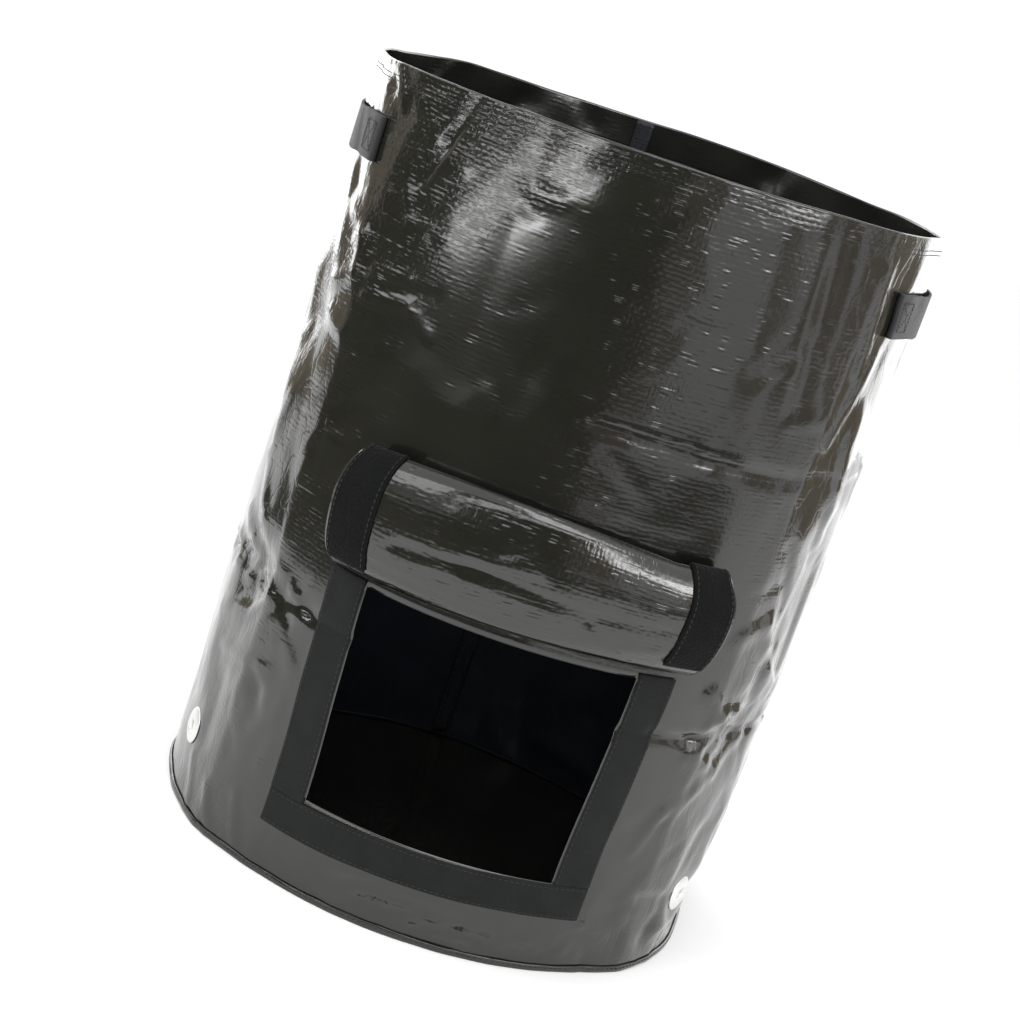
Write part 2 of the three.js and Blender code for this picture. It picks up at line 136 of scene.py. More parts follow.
# Creases seen on the bag: azimuth and height of both ends, how far it rises, and how far its
# slope runs to the left and to the right of it
CREASES = (
    (-34.5, 449, -39, 418, -1.6, 2.4, 12),
    (-39, 418, -42.5, 395, -1.4, 2.4, 11),
    (-45.8, 388, -42.4, 374, 0.9, 5, 5),
    (-42.4, 374, -34, 373.5, 0.8, 5, 4),
    (-47.5, 341, -38.5, 346, 1.0, 5, 6),
    (-47.5, 327, -36, 332, 1.1, 6, 6),
    (-44, 335, -31, 343, -0.8, 5, 5),
    (-36, 332, -30, 322, 0.7, 5, 6),
    (-46, 297, -33, 303, 0.6, 16, 12),
    (-33, 303, -20.5, 292, 0.5, 16, 12),
    (-20.5, 292, -27, 275, 0.4, 12, 16),
    (-27, 275, -40, 272, -0.4, 10, 10),
    (5, 312, 26, 308.5, -0.7, 4, 7),
    (26, 308.5, 47, 307.5, -0.9, 4, 7),
    (-46, 151, -37, 154, -1.2, 9, 7),
    (-43, 159, -38, 147, 1.3, 6, 4),
    (-46, 147, -43, 156, 0.8, 4, 4),
    (35, 154, 45.6, 149, -2.0, 5, 5),
    (45.6, 149, 57, 159.5, -2.2, 6, 6),
    (46, 179, 52, 163, 2.0, 7, 8),
    (52, 163, 60, 168, 1.8, 8, 7),
    (48, 213, 56, 222, 1.5, 7, 10),
    (56, 222, 64, 190, 1.4, 9, 9),
    (64, 190, 71, 178, 1.6, 8, 10),
    (47, 140, 58, 128, 1.6, 7, 9),
    (58, 128, 66, 146, 1.5, 8, 8),
    (46, 103, 54, 118, 1.2, 7, 8),
    (-64, 370, -54, 356, 1.5, 8, 8),
    (-54, 356, -52.3, 334, 1.0, 6, 5),
    (-62, 323, -52.3, 334, 1.4, 8, 7),
    (-62, 323, -66, 352, 1.0, 8, 9),
    (-58.4, 308, -51.2, 302, 1.4, 7, 7),
    (-60, 190, -75, 322, 2.7, 14, 27),
    (-63, 255, -66, 214, 0.8, 7, 7),
    (-66, 214, -57, 176, 1.2, 9, 9),
    (-68.6, 157, -55, 156, -1.8, 6, 7),
    (-55, 156, -48, 149, 1.6, 6, 6),
    (-54, 131.5, -48, 149, 1.5, 6, 6),
    (-70, 176, -62, 162, 1.5, 8, 8),
    (-70, 115, -56, 128, 1.2, 7, 8),
    (-62, 99.5, -42, 110, 0.8, 5, 6),
    (-50, 26, -45, 3, 1.0, 5, 6),
    (-41, 34, -38, 9, 0.9, 5, 5),
    (-60, 30, -55, 6, 1.0, 6, 7),
    (84, 45, 66, 38, -2.0, 7, 8),
    (60, 42, 49, 46.5, -1.8, 6, 7),
    (58, 24, 76, 26, 2.2, 10, 12),
    (45.4, 103, 42, 78, 0.8, 6, 7),
    (30.6, 23, 36.5, 31.6, 0.9, 3, 4),
    (36.5, 31.6, 43, 26, 0.8, 3, 4),
    (-9, 14.5, 2, 17, 1.3, 3, 3),
    (4, 13.5, 12.4, 15, 1.2, 3, 3),
    (12.4, 15, 18, 13, 1.4, 3, 3),
    (-2, 24, 9, 21, 0.8, 4, 4),
    (2, 9, 14, 6, 1.1, 3, 3),
    (-14, 20, -6, 26, 0.6, 4, 4),
    (20, 8, 31, 17, 1.0, 4, 4),
    (-60, 449, -55, 428, 1.2, 5, 6),
    (-66, 447, -60, 436, -1.6, 5, 5),
    (52, 430, 54, 372, 1.2, 6, 7),
    (58, 380, 52, 330, 1.2, 7, 7),
    (60, 330, 66, 270, 1.3, 9, 9),
    (53, 268, 60, 232, -1.1, 7, 8),
)

# Where random creases lie: azimuth range, height range, how many, length, slope and rise in
# millimetres, and the turn from level with its spread in degrees
CREASE_FIELDS = (
    ((-94, -54), (10, 180), 9, (30, 80), (8, 22), 1.5, (86, 20)),
    ((-94, -54), (320, 430), 8, (30, 80), (8, 22), 1.5, (100, 20)),
    ((-49, -42), (238, 264), 9, (6, 16), (2.5, 5), 0.9, (10, 60)),
    ((-46, -35), (142, 164), 7, (5, 13), (2.5, 5), 0.9, (60, 60)),
    ((54, 94), (10, 400), 26, (35, 95), (7, 20), 1.7, (92, 20)),
    ((-90, -50), (20, 430), 7, (10, 26), (4, 9), 0.8, (60, 70)),
    ((52, 90), (20, 430), 12, (10, 26), (4, 9), 0.8, (120, 70)),
    ((94, 266), (10, 440), 130, (14, 60), (6, 14), 1.2, (85, 60)),
    ((-50, 50), (262, 445), 26, (10, 40), (6, 12), 0.55, (10, 40)),
    ((-50, -35), (5, 150), 12, (10, 26), (5, 9), 0.8, (70, 50)),
    ((35, 52), (5, 150), 14, (10, 26), (5, 9), 0.9, (60, 60)),
    ((-40, 40), (4, 26), 26, (6, 16), (3, 5), 0.6, (5, 60)),
    ((-94, -45), (140, 165), 14, (8, 18), (4, 7), 1.3, (20, 80)),
    ((45, 94), (130, 170), 16, (8, 20), (4, 8), 1.4, (20, 80)),
)
CREASE_SEED = 11

# Shares of the folded flap's depth and height along its middle line, and where the tape's
# thickness lies under it
FLAP_LINE = (
    (0, 0.17, 0),
    (0, 0.07, 0),
    (0.18, 0.015, 0),
    (0.46, 0.03, 0),
    (0.72, 0.13, 0),
    (0.9, 0.33, 0),
    (1, 0.57, 0),
    (0.95, 0.78, 0),
    (0.74, 0.94, 0),
    (0.42, 0.99, 0),
    (0.1, 0.9, 1),
    (0.06, 0.7, 1),
    (0.06, 0.3, 1),
)
FLAP_FOOT_LEVEL = WINDOW_TOP + 6
FLAP_HEIGHT = 70
FLAP_DEPTH = 17.35
FLAP_HALF = 108 / ARC
FLAP_END_LIFT = 5
FLAP_CREASES = (
    (-20, 30, 4, 36, -0.9, 3, 7),
    (-8, 33, 14, 27, -1.1, 3, 8),
    (14, 27, 27, 29, -0.8, 3, 6),
    (-3, 46, 1, 51, 0.9, 3, 4),
    (14, 22, 20, 12, -0.9, 3, 5),
    (20, 12, 27, 16, 0.9, 3, 4),
    (-26, 14, 8, 7, -0.8, 3, 6),
    (-1, 66, 28, 64, 0.8, 3, 3),
)


def smoothstep(value, low, high):
    share = np.clip((value - low) / (high - low), 0, 1)
    return share * share * (3 - 2 * share)


def turn_between(a, b):
    return np.abs((a - b + 540) % 360 - 180)


def field(x, y, cell, seed, faceted=False):
    """Noise from -1 to 1 that closes round the bag, smooth or in flat facets"""
    columns, rows = max(4, round(GIRTH / cell)), 97
    table = np.random.default_rng(seed).uniform(-1, 1, (columns, rows))
    u, v = x / GIRTH * columns, y / cell
    i, j = np.floor(u).astype(int), np.floor(v).astype(int)
    u, v = u - i, v - j

    def at(across, up):
        return table[(i + across) % columns, (j + up) % rows]

    if faceted:
        first = at(0, 0) + u * (at(1, 0) - at(0, 0)) + v * (at(1, 1) - at(1, 0))
        second = at(0, 0) + v * (at(0, 1) - at(0, 0)) + u * (at(1, 1) - at(0, 1))
        return np.where(u > v, first, second)
    u, v = u * u * (3 - 2 * u), v * v * (3 - 2 * v)
    low = at(0, 0) + u * (at(1, 0) - at(0, 0))
    high = at(0, 1) + u * (at(1, 1) - at(0, 1))
    return low + v * (high - low)


def crease_height(x, y, crease):
    """Rise of one crease: straight slopes down from a line, to each side at its own width"""
    a0, z0, a1, z1, rise, left, right = crease
    start, end = np.array((a0 * ARC, z0)), np.array((a1 * ARC, z1))
    run = end - start
    length = np.hypot(*run)
    dx, dy = x - start[0], y - start[1]
    dx = (dx + GIRTH / 2) % GIRTH - GIRTH / 2
    along = np.clip((dx * run[0] + dy * run[1]) / length**2, 0, 1)
    away = np.hypot(dx - along * run[0], dy - along * run[1])
    side = dx * run[1] - dy * run[0]
    width = np.where(side > 0, right, left)
    return rise * np.maximum(0, 1 - away / width)


def random_creases():
    """The creases of every field, drawn in order from one seed"""
    draw = np.random.default_rng(CREASE_SEED)
    creases = []
    for (a0, a1), (z0, z1), count, lengths, widths, rise, (turn, spread) in CREASE_FIELDS:
        for _ in range(count):
            azimuth, height = draw.uniform(a0, a1), draw.uniform(z0, z1)
            length = draw.uniform(*lengths)
            angle = math.radians(draw.normal(turn, spread))
            across = math.cos(angle) * length / ARC
            up = math.sin(angle) * length
            left, right = draw.uniform(*widths, 2)
            stands = rise * draw.uniform(0.35, 1) * draw.choice((-1, 1))
            creases.append((azimuth, height, azimuth + across, height + up, stands, left, right))
    return creases


ALL_CREASES = CREASES + tuple(random_creases())


def crumple_share(azimuth, height):
    """How crumpled the cloth is, from 0 to 1: most beside the standing creases and low down"""
    side = 0
    for low, high, _ in STANDING_CREASES:
        middle = low + (high - low) * smoothstep(height / BAG_HEIGHT, CREASE_TURN, 1)
        side = np.maximum(side, np.exp(-((turn_between(azimuth, middle) / 7) ** 2)))
    panel = smoothstep(np.abs((azimuth + 180) % 360 - 180), 46, 58)
    fold = np.exp(-(((height - 150) / 14) ** 2)) * panel
    foot = np.exp(-(((height - 14) / 14) ** 2))
    return np.clip(0.22 + 0.45 * panel + 0.5 * side + 0.4 * fold + 0.6 * foot, 0, 1)


def ribbing_share(azimuth, height):
    """How plainly the weave's ribs stand out: most below the rim on the left, least at the foot"""
    patches = field(azimuth * ARC, height, 42, 34) + 0.5 * field(azimuth * ARC, height, 16, 35)
    round_bag = (azimuth + 180) % 360 - 180
    top_left = smoothstep(height - 2.6 * (round_bag + 27), 366, 390)
    left = (0.5 + 0.35 * smoothstep(height, 370, 400)) * smoothstep(-round_bag, 26, 38)
    right = smoothstep(round_bag, -8, 4) * (0.5 - 0.22 * smoothstep(round_bag, 14, 28))
    share = np.maximum(np.maximum(top_left, left), np.maximum(right, 0.1))
    share = share * (1 - 0.5 * smoothstep(np.abs(round_bag), 48, 58))
    band = np.exp(-(((round_bag + 35.5 + 0.107 * (449 - height)) / 1.7) ** 2))
    share = share * (1 - 0.9 * band * smoothstep(height, 385, 400))
    share = share * (0.4 + 0.6 * smoothstep(height, 150, 300)) + 0.25 * smoothstep(height, 432, 442)
    return np.clip(share * (1 + 0.5 * patches), 0.07, 1)


def relief(azimuth, height):
    """How far the crumpled cloth stands out from the bag's form, in millimetres"""
    x, y = azimuth * ARC, height
    wander_x = x + 8 * field(x, y, 50, 21) + 3 * field(x, y, 17, 22)
    wander_y = y + 8 * field(x, y, 50, 23) + 3 * field(x, y, 17, 24)
    swell = 0.9 * field(x, y, 150, 25) + 0.5 * field(x, y * 0.7, 62, 26)
    facets = 1.25 * field(wander_x, wander_y * 0.42, 31, 27, True)
    facets = facets + 0.35 * field(wander_x + 0.5 * wander_y, wander_y, 15, 28, True)
    calm_front = np.exp(-(((azimuth + 17) / 19) ** 2)) * smoothstep(height, 315, 350)
    total = (swell + facets * crumple_share(azimuth, height)) * (1 - 0.7 * calm_front)
    hanging = smoothstep(height, 300, 420) * np.exp(-(((azimuth - 37) / 13) ** 2))
    total = total + 0.9 * hanging * field(x + 0.1 * y, y * 0.1, 13, 29)
    for crease in ALL_CREASES:
        total = total + crease_height(x, y, crease)
    middle, level, spread, reach, depth = FOOT_PULL
    pull = np.hypot(turn_between(azimuth, middle) / spread, (height - level) / reach)
    total = total - depth * np.cos(np.minimum(1, pull) * math.pi / 2) ** 2
    total = total + 1.6 * field(x, 0 * y, 58, 30, True) * (1 - smoothstep(height, 0, 40))
    total = total + 0.3 * field(x, y, 26, 36) * (1 - smoothstep(height, 40, 120))
    calm = 1
    for middle in EYELETS.values():
        away = np.hypot((azimuth - middle) * ARC, height - EYELET_HEIGHT)
        calm = calm * (1 - 0.85 * np.exp(-((away / 15) ** 4)))
    near = TAPE_HALF * ARC - np.abs(x)
    taped = smoothstep(near, -2, 3) * smoothstep(height, TAPE_FOOT - 3, TAPE_FOOT + 2)
    taped = taped * (1 - smoothstep(height, 262, 270))
    return total * calm * (1 - 0.6 * taped)


def form_radius(azimuth, height):
    """Radius of the bag's form without folds and crumples, in millimetres"""
    share = height / BAG_HEIGHT
    radius = WALL_OUTLINE[0][1]
    for (low, inner), (high, outer) in zip(WALL_OUTLINE, WALL_OUTLINE[1:]):
        radius = radius + (outer - inner) * smoothstep(share, low, high)
    for low, high, stand in STANDING_CREASES:
        middle = low + (high - low) * smoothstep(share, CREASE_TURN, 1)
        radius = radius + stand * np.exp(-turn_between(azimuth, middle) / CREASE_SPREAD)
    for middle, level, across, along, depth in WALL_DENTS:
        u = np.minimum(1, turn_between(azimuth, middle) / across) * math.pi / 2
        v = np.minimum(1, np.abs(share - level) / along) * math.pi / 2
        radius = radius - depth * np.cos(u) ** 2 * np.cos(v) ** 2
    return RIM_RADIUS * radius


def fold_depth(azimuth, height):
    """How far the packing folds go in, in millimetres"""
    total = 0
    for level, depth, run, low, high in PACKING_FOLDS:
        wander = level + 2 * field(azimuth * ARC, 0 * height, 40, 33)
        share = np.maximum(0, 1 - np.abs(height - wander) / run)
        inside = smoothstep(azimuth, low - 4, low + 4) * smoothstep(-azimuth, -high - 4, 4 - high)
        total = total + depth * share * inside
    return total


def polar(azimuth, radius, height):
    """Points in metres from azimuths in degrees and lengths in millimetres"""
    turn, radius, height = np.broadcast_arrays(np.radians(azimuth), radius, height)
    return np.stack((radius * np.sin(turn), -radius * np.cos(turn), height), -1) * MM


def wall_radius(azimuth, height):
    """Radius of the wall's outer face with its folds and crumples, in millimetres"""
    return form_radius(azimuth, height) - fold_depth(azimuth, height) + relief(azimuth, height)


def rim_wave(azimuth, height):
    """How far the cloth's level lines rise near the rim"""
    x = azimuth * ARC
    wave = 1.2 * field(x, 0 * x, 95, 31) + 0.6 * field(x, 0 * x, 34, 32)
    return wave * smoothstep(height, BAG_HEIGHT - 60, BAG_HEIGHT)


def drift(azimuth, height):
    """How far round the window's sides have slipped, in degrees"""
    side = np.abs(azimuth)
    share = smoothstep(side, 4, 24) * (1 - smoothstep(side, 40, 56))
    up = smoothstep(height, 55, 180) * (1 - smoothstep(height, 200, 290))
    down = (1 - smoothstep(height, 50, 180)) * smoothstep(height, 0, 40)
    return share * np.where(azimuth < 0, 1.1 * down, 0.5 * down + 2.0 * up)


def wall_point(azimuth, height, out=0):
    """Points on the crumpled wall, out being how far off its outer face"""
    azimuth, height = np.broadcast_arrays(np.asarray(azimuth, float), np.asarray(height, float))
    azimuth = azimuth + drift(azimuth, height)
    low = np.clip(height, 0, BAG_HEIGHT)
    level = height + rim_wave(azimuth, height)
    return polar(azimuth, wall_radius(azimuth, low) + out, level)


def graded(stops, steps):
    """Values through the stops, each stretch divided into about its step"""
    values = [stops[0]]
    for low, high, step in zip(stops, stops[1:], steps):
        count = max(1, round((high - low) / step))
        values.extend(low + (high - low) * (k + 1) / count for k in range(count))
    return np.array(values)


# Mesh helpers


def deselect():
    bpy.ops.object.select_all(action="DESELECT")


def pick(piece):
    """Selects the piece alone and makes it the active one"""
    deselect()
    piece.select_set(True)
    bpy.context.view_layer.objects.active = piece


def settle(piece, replaced=()):
    """Rides the piece on the bag, and hides the CAD nodes that it stands for"""
    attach(piece, BODY)
    if replaced:
        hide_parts(*replaced)


def modify(piece, kind, **settings):
    """Adds a modifier and applies it"""
    pick(piece)
    bpy.ops.object.modifier_add(type=kind)
    modifier = piece.modifiers[-1]
    for key, value in settings.items():
        setattr(modifier, key, value)
    bpy.ops.object.modifier_apply(modifier=modifier.name)


def thicken(piece, thickness, **settings):
    """Gives the sheet its thickness, on the side that its normals point away from"""
    modify(piece, "SOLIDIFY", thickness=thickness, offset=-1, **settings)


def soften(piece, width):
    """Rounds the piece's sharp edges"""
    turn = math.radians(SOFTENED_FROM)
    modify(piece, "BEVEL", width=width, segments=2, limit_method="ANGLE", angle_limit=turn)


def clean(piece, closed=True):
    """Merges doubled vertices, and turns faces outward where the piece is a closed shell"""
    pick(piece)
    bpy.ops.object.mode_set(mode="EDIT")
    bpy.ops.mesh.select_all(action="SELECT")
    bpy.ops.mesh.remove_doubles(threshold=1e-6)
    if closed:
        bpy.ops.mesh.normals_make_consistent(inside=False)
    bpy.ops.object.mode_set(mode="OBJECT")


def cut_faces(piece, gone):
    """Deletes the faces whose flag is set"""
    mesh = piece.data
    bpy.context.view_layer.objects.active = piece
    bpy.ops.object.mode_set(mode="EDIT")
    bpy.ops.mesh.select_mode(type="FACE")
    bpy.ops.mesh.select_all(action="DESELECT")
    bpy.ops.object.mode_set(mode="OBJECT")
    mesh.polygons.foreach_set("select", gone)
    bpy.ops.object.mode_set(mode="EDIT")
    bpy.ops.mesh.delete(type="FACE")
    bpy.ops.mesh.select_mode(type="VERT")
    bpy.ops.object.mode_set(mode="OBJECT")


def sheet_piece(name, across, along, place, cut=None, **shares):
    """A grid laid out by its own coordinates: across and along are its stations, place() turns
    them to points, cut() flags the faces, by their middles, that are left out, and shares are
    numbers, or functions of the coordinates, that the piece's material reads"""
    deselect()
    columns, rows = len(across) - 1, len(along) - 1
    bpy.ops.mesh.primitive_grid_add(x_subdivisions=columns, y_subdivisions=rows, size=2)
    piece = bpy.context.object
    piece.name = piece.data.name = name
    mesh = piece.data
    flat = np.empty(len(mesh.vertices) * 3)
    mesh.vertices.foreach_get("co", flat)
    flat = flat.reshape(-1, 3)
    i = np.rint((flat[:, 0] + 1) / 2 * columns).astype(int)
    j = np.rint((flat[:, 1] + 1) / 2 * rows).astype(int)
    u, v = across[i], along[j]
    points = place(u, v)
    mesh.vertices.foreach_set("co", points.ravel())
    for key, share in shares.items():
        layer = mesh.attributes.new(key, "FLOAT", "POINT")
        values = share(u, v) if callable(share) else np.full(len(u), share)
        layer.data.foreach_set("value", np.asarray(values, dtype=np.float32))
    corner = np.empty(len(mesh.loops), dtype=int)
    mesh.loops.foreach_get("vertex_index", corner)
    layer = mesh.uv_layers.active or mesh.uv_layers.new()
    layer.name = "cloth"
    layer.data.foreach_set("uv", (np.stack((u, v), -1)[corner] * MM).ravel())
    if cut:
        first = np.empty(len(mesh.polygons), dtype=int)
        mesh.polygons.foreach_get("loop_start", first)
        four = corner[first[:, None] + np.arange(4)]
        cut_faces(piece, cut(u[four].mean(1), v[four].mean(1)))
    mesh.update()
    return piece


def dress(context, piece, *names):
    """Gives the piece the named materials, in order of its slots, and smooth shading"""
    piece.data.materials.clear()
    for name in names:
        piece.data.materials.append(finish_of(context, name))
    pick(piece)
    bpy.ops.object.shade_smooth()


def stitch_unit(length, thread):
    """Vertices and faces of one stitch, lying along X"""
    deselect()
    bpy.ops.mesh.primitive_uv_sphere_add(segments=6, ring_count=4, radius=1)
    unit = bpy.context.object
    bpy.ops.transform.rotate(value=math.pi / 2, orient_axis="Y", center_override=(0, 0, 0))
    bpy.ops.object.transform_apply(location=False, rotation=True, scale=False)
    points = np.array([tuple(vertex.co) for vertex in unit.data.vertices])
    faces = [tuple(face.vertices) for face in unit.data.polygons]
    bpy.data.meshes.remove(unit.data)
    points = points * (length / 2, thread / 2, thread / 2)
    points[:, 2] -= 0.35 * thread * (2 * points[:, 0] / length) ** 2
    return points, faces


def read_line(where, run, line):
    """The line's values at some lengths along it"""
    return np.stack([np.interp(where, run, column) for column in line.T], -1)


def sew(context, name, rows, longer=1, thicker=1):
    """Rows of stitches. Each row is points along it and the way out of the cloth there, both
    closely spaced, the stitches' pitch, and how far they are turned from the row, in degrees.
    Longer and thicker are shares of the usual stitch and thread"""
    sizes = sizes_of(context)
    unit, unit_faces = stitch_unit(sizes.stitch * longer, sizes.thread * thicker)
    points, faces = [], []
    for path, out, pitch, turns in rows:
        steps = np.linalg.norm(np.diff(path, axis=0), axis=1)
        run = np.concatenate(((0,), np.cumsum(steps)))
        count = max(2, round(run[-1] / pitch))
        middles = (np.arange(count) + 0.5) / count * run[-1]
        centre, away = read_line(middles, run, path), read_line(middles, run, out)
        ahead = read_line(middles + 0.2 * pitch, run, path)
        behind = read_line(middles - 0.2 * pitch, run, path)
        away /= np.linalg.norm(away, axis=1)[:, None]
        along = ahead - behind
        along -= (along * away).sum(1)[:, None] * away
        along /= np.linalg.norm(along, axis=1)[:, None]
        beside = np.cross(away, along)
        turn = np.radians(np.resize(turns, count))[:, None]
        x = along * np.cos(turn) + beside * np.sin(turn)
        y = beside * np.cos(turn) - along * np.sin(turn)
        placed = centre[:, None] + (
            unit[None, :, 0:1] * x[:, None]
            + unit[None, :, 1:2] * y[:, None]
            + unit[None, :, 2:3] * away[:, None]
        )
        for stitch in placed:
            start = len(points)
            points.extend(map(tuple, stitch))
            faces.extend(tuple(start + k for k in face) for face in unit_faces)
    mesh = bpy.data.meshes.new(name)
    mesh.from_pydata(points, [], faces)
    piece = bpy.data.objects.new(name, mesh)
    context.scene.collection.objects.link(piece)
    dress(context, piece, "sewing_thread")
    settle(piece)


def way_out(azimuth, height):
    """The way out of the wall: level, from the bag's axis"""
    turn = np.radians(np.broadcast_to(azimuth, np.broadcast(azimuth, height).shape))
    return np.stack((np.sin(turn), -np.cos(turn), 0 * turn), -1)


def wall_row(azimuth, height, out):
    """A path on the wall and its way out, for a row of stitches"""
    azimuth, height = np.broadcast_arrays(np.asarray(azimuth, float), np.asarray(height, float))
    return wall_point(azimuth, height, out), way_out(azimuth, height)


# Materials


class Wire:
    """A node's output that arithmetic can be written on"""

    def __init__(self, finish, socket):
        self.finish = finish
        self.socket = socket

    def maths(self, operation, *values):
        return self.finish.node("ShaderNodeMath", {"operation": operation}, dict(enumerate(values)))

    def __add__(self, other):
        return self.maths("ADD", self, other)

    def __sub__(self, other):
        return self.maths("SUBTRACT", self, other)

    def __rsub__(self, other):
        return self.maths("SUBTRACT", other, self)

    def __mul__(self, other):
        return self.maths("MULTIPLY", self, other)

    def __truediv__(self, other):
        return self.maths("DIVIDE", self, other)

    def __abs__(self):
        return self.maths("ABSOLUTE", self)

    __radd__ = __add__
    __rmul__ = __mul__

    def sine(self):
        return self.maths("SINE", self)

    def cosine(self):
        return self.maths("COSINE", self)

    def floored(self):
        return self.maths("FLOOR", self)

    def clamped(self, low=0, high=1):
        return self.maths("MINIMUM", self.maths("MAXIMUM", self, low), high)


class Finish:
    """A material under making"""

    def __init__(self, name):
        self.material = bpy.data.materials.new(name)
        self.material.use_nodes = True
        self.tree = self.material.node_tree
        self.tree.nodes.clear()

    def node(self, kind, settings=None, sockets=None, output=0):
        """Adds a node: its settings first, then the values or links of its sockets"""
        node = self.tree.nodes.new(kind)
        for key, value in (settings or {}).items():
            setattr(node, key, value)
        for key, value in (sockets or {}).items():
            socket = self.socket(node.inputs, key)
            if isinstance(value, Wire):
                self.tree.links.new(value.socket, socket)
            else:
                socket.default_value = value
        if output is None:
            return node
        return Wire(self, self.socket(node.outputs, output))

    @staticmethod
    def socket(sockets, key):
        if isinstance(key, int):
            return sockets[key]
        return next(socket for socket in sockets if key in (socket.identifier, socket.name))

    def lay(self):
        """The cloth's own coordinates, in metres across and along it"""
        return self.node("ShaderNodeUVMap", {"uv_map": "cloth"})

    def spot(self):
        """The object's coordinates"""
        return self.node("ShaderNodeTexCoord", {}, {}, "Object")

    def share(self, name):
        """A share that the piece's points carry"""
        return self.node("ShaderNodeAttribute", {"attribute_name": name}, {}, "Fac")

    def noise(self, vector, scale, detail=2, roughness=0.5):
        sockets = {"Vector": vector, "Scale": scale, "Detail": detail, "Roughness": roughness}
        return self.node("ShaderNodeTexNoise", {}, sockets)

    def cells(self, vector, scale, feature="F1"):
        sockets = {"Vector": vector, "Scale": scale}
        return self.node("ShaderNodeTexVoronoi", {"feature": feature}, sockets, "Distance")

    def tapes(self, across, along, pitch, change):
        """Relief of the weave's tapes: a low rib each, tilted by its own amount, which changes
        along the tape, so that single stretches catch the light"""
        row = (across / pitch).floored()
        tilt = self.noise(self.vector(along * change, row * 7.31), 1, 1) * 2 - 1
        turn = across * (2 * math.pi / pitch)
        return tilt * abs(tilt) * turn.sine() - turn.cosine() * 0.025

    def vector(self, x, y, z=0.0):
        return self.node("ShaderNodeCombineXYZ", {}, {"X": x, "Y": y, "Z": z})

    def parts(self, vector):
        node = self.node("ShaderNodeSeparateXYZ", {}, {"Vector": vector}, None)
        return [Wire(self, output) for output in node.outputs]

    def blend(self, share, first, second):
        sockets = {"Factor_Float": share, "A_Color": first, "B_Color": second}
        return self.node("ShaderNodeMix", {"data_type": "RGBA"}, sockets, "Result_Color")

    def surface(self, height=None, strength=1.0, **sockets):
        """The shader, with an optional height in metres for its relief"""
        named = {key.replace("_", " "): value for key, value in sockets.items()}
        if height is not None:
            bump = {"Strength": strength, "Distance": 1.0, "Height": height}
            named["Normal"] = self.node("ShaderNodeBump", {}, bump)
        shader = self.node("ShaderNodeBsdfPrincipled", {}, named, "BSDF")
        self.node("ShaderNodeOutputMaterial", {}, {"Surface": shader}, None)
        return self.material


def tinted(colour, share=1):
    return tuple(channel * share for channel in colour) + (1,)


def tarpaulin(name, colour, sizes, gloss, film, crinkled, weft_share=1.0, warp_share=1.0):
    """Woven polyethylene tapes under a thin glossy film"""
    finish = Finish(name)
    lay = finish.lay()
    x, y, _ = finish.parts(lay)
    crumple, ribbing = finish.share("crumple"), finish.share("ribbing")
    bend = finish.noise(lay, 90, 1)
    up, over = y + bend * 0.0006, x + bend * 0.0006
    weft = finish.tapes(up, x, sizes.weft_pitch, 85) * weft_share
    warp = finish.tapes(over, y, sizes.warp_pitch, 110) * warp_share
    level, upright = math.pi / sizes.weft_pitch, math.pi / sizes.warp_pitch
    knot = (up * level).sine() * (over * upright).sine()
    slack = finish.noise(finish.vector(x * 45, y * 420), 1, 3)
    patchy = finish.noise(finish.vector(x * 30, y * 30, 3.1), 1, 2)
    thin = finish.noise(finish.vector(x * 190, y * 520, 7.7), 1, 3, 0.6)
    wander = finish.vector(x * 1.5 + finish.noise(lay, 60, 2) * 0.02, y * 0.75 + bend * 0.02)
    lines = finish.cells(wander, 50, "DISTANCE_TO_EDGE").clamped(0, 0.07)
    small = finish.cells(wander, 190).clamped(0, 0.7)
    warp = warp * (patchy - 0.38).clamped() * 2
    height = (weft + warp + knot * 0.03 + slack * 0.15 + thin * 0.06) * ribbing
    height = height + (lines * 1.7 + small * 0.1) * ((crumple - 0.16) * crinkled).clamped()
    rough = gloss + 0.07 * patchy + 0.04 * thin
    worn = (0.07 - lines) * crumple * 6
    tone = finish.blend((patchy * 0.7 + worn).clamped(), tinted(colour, 0.75), tinted(colour, 1.5))
    return finish.surface(
        height * MM,
        Base_Color=tone,
        Roughness=rough,
        IOR=1.52,
        Specular_IOR_Level=0.52 * film,
        Coat_Weight=0.4 * film,
        Coat_Roughness=0.1,
    )


def cut_edge(name, colour):
    """The cut ends of the tapes"""
    finish = Finish(name)
    grain = finish.noise(finish.spot(), 900, 3)
    tone = finish.blend(grain, tinted(colour, 0.5), tinted(colour, 1.6))
    return finish.surface(grain * 0.00015, Base_Color=tone, Roughness=0.6)


def webbing(name, colour, sizes):
    """Woven strap: close ribs across it, with a plaited grain"""
    finish = Finish(name)
    x, y, _ = finish.parts(finish.lay())
    ribs = abs((x * (math.pi / sizes.webbing_pitch)).sine())
    plait = abs((y * (math.pi / (1.3 * sizes.webbing_pitch)) + x * 900).sine())
    fibre = finish.noise(finish.vector(x * 1500, y * 5000), 1, 2)
    height = ribs * 0.16 + plait * 0.12 + fibre * 0.05
    worn = (ribs * 0.4 + plait * 0.3 + fibre * 0.4).clamped()
    tone = finish.blend(worn, tinted(colour, 0.4), tinted(colour, 1.5))
    return finish.surface(
        height * MM,
        Base_Color=tone,
        Roughness=0.75 - 0.15 * ribs,
        Specular_IOR_Level=0.3,
        Sheen_Weight=0.15,
        Sheen_Roughness=0.5,
    )


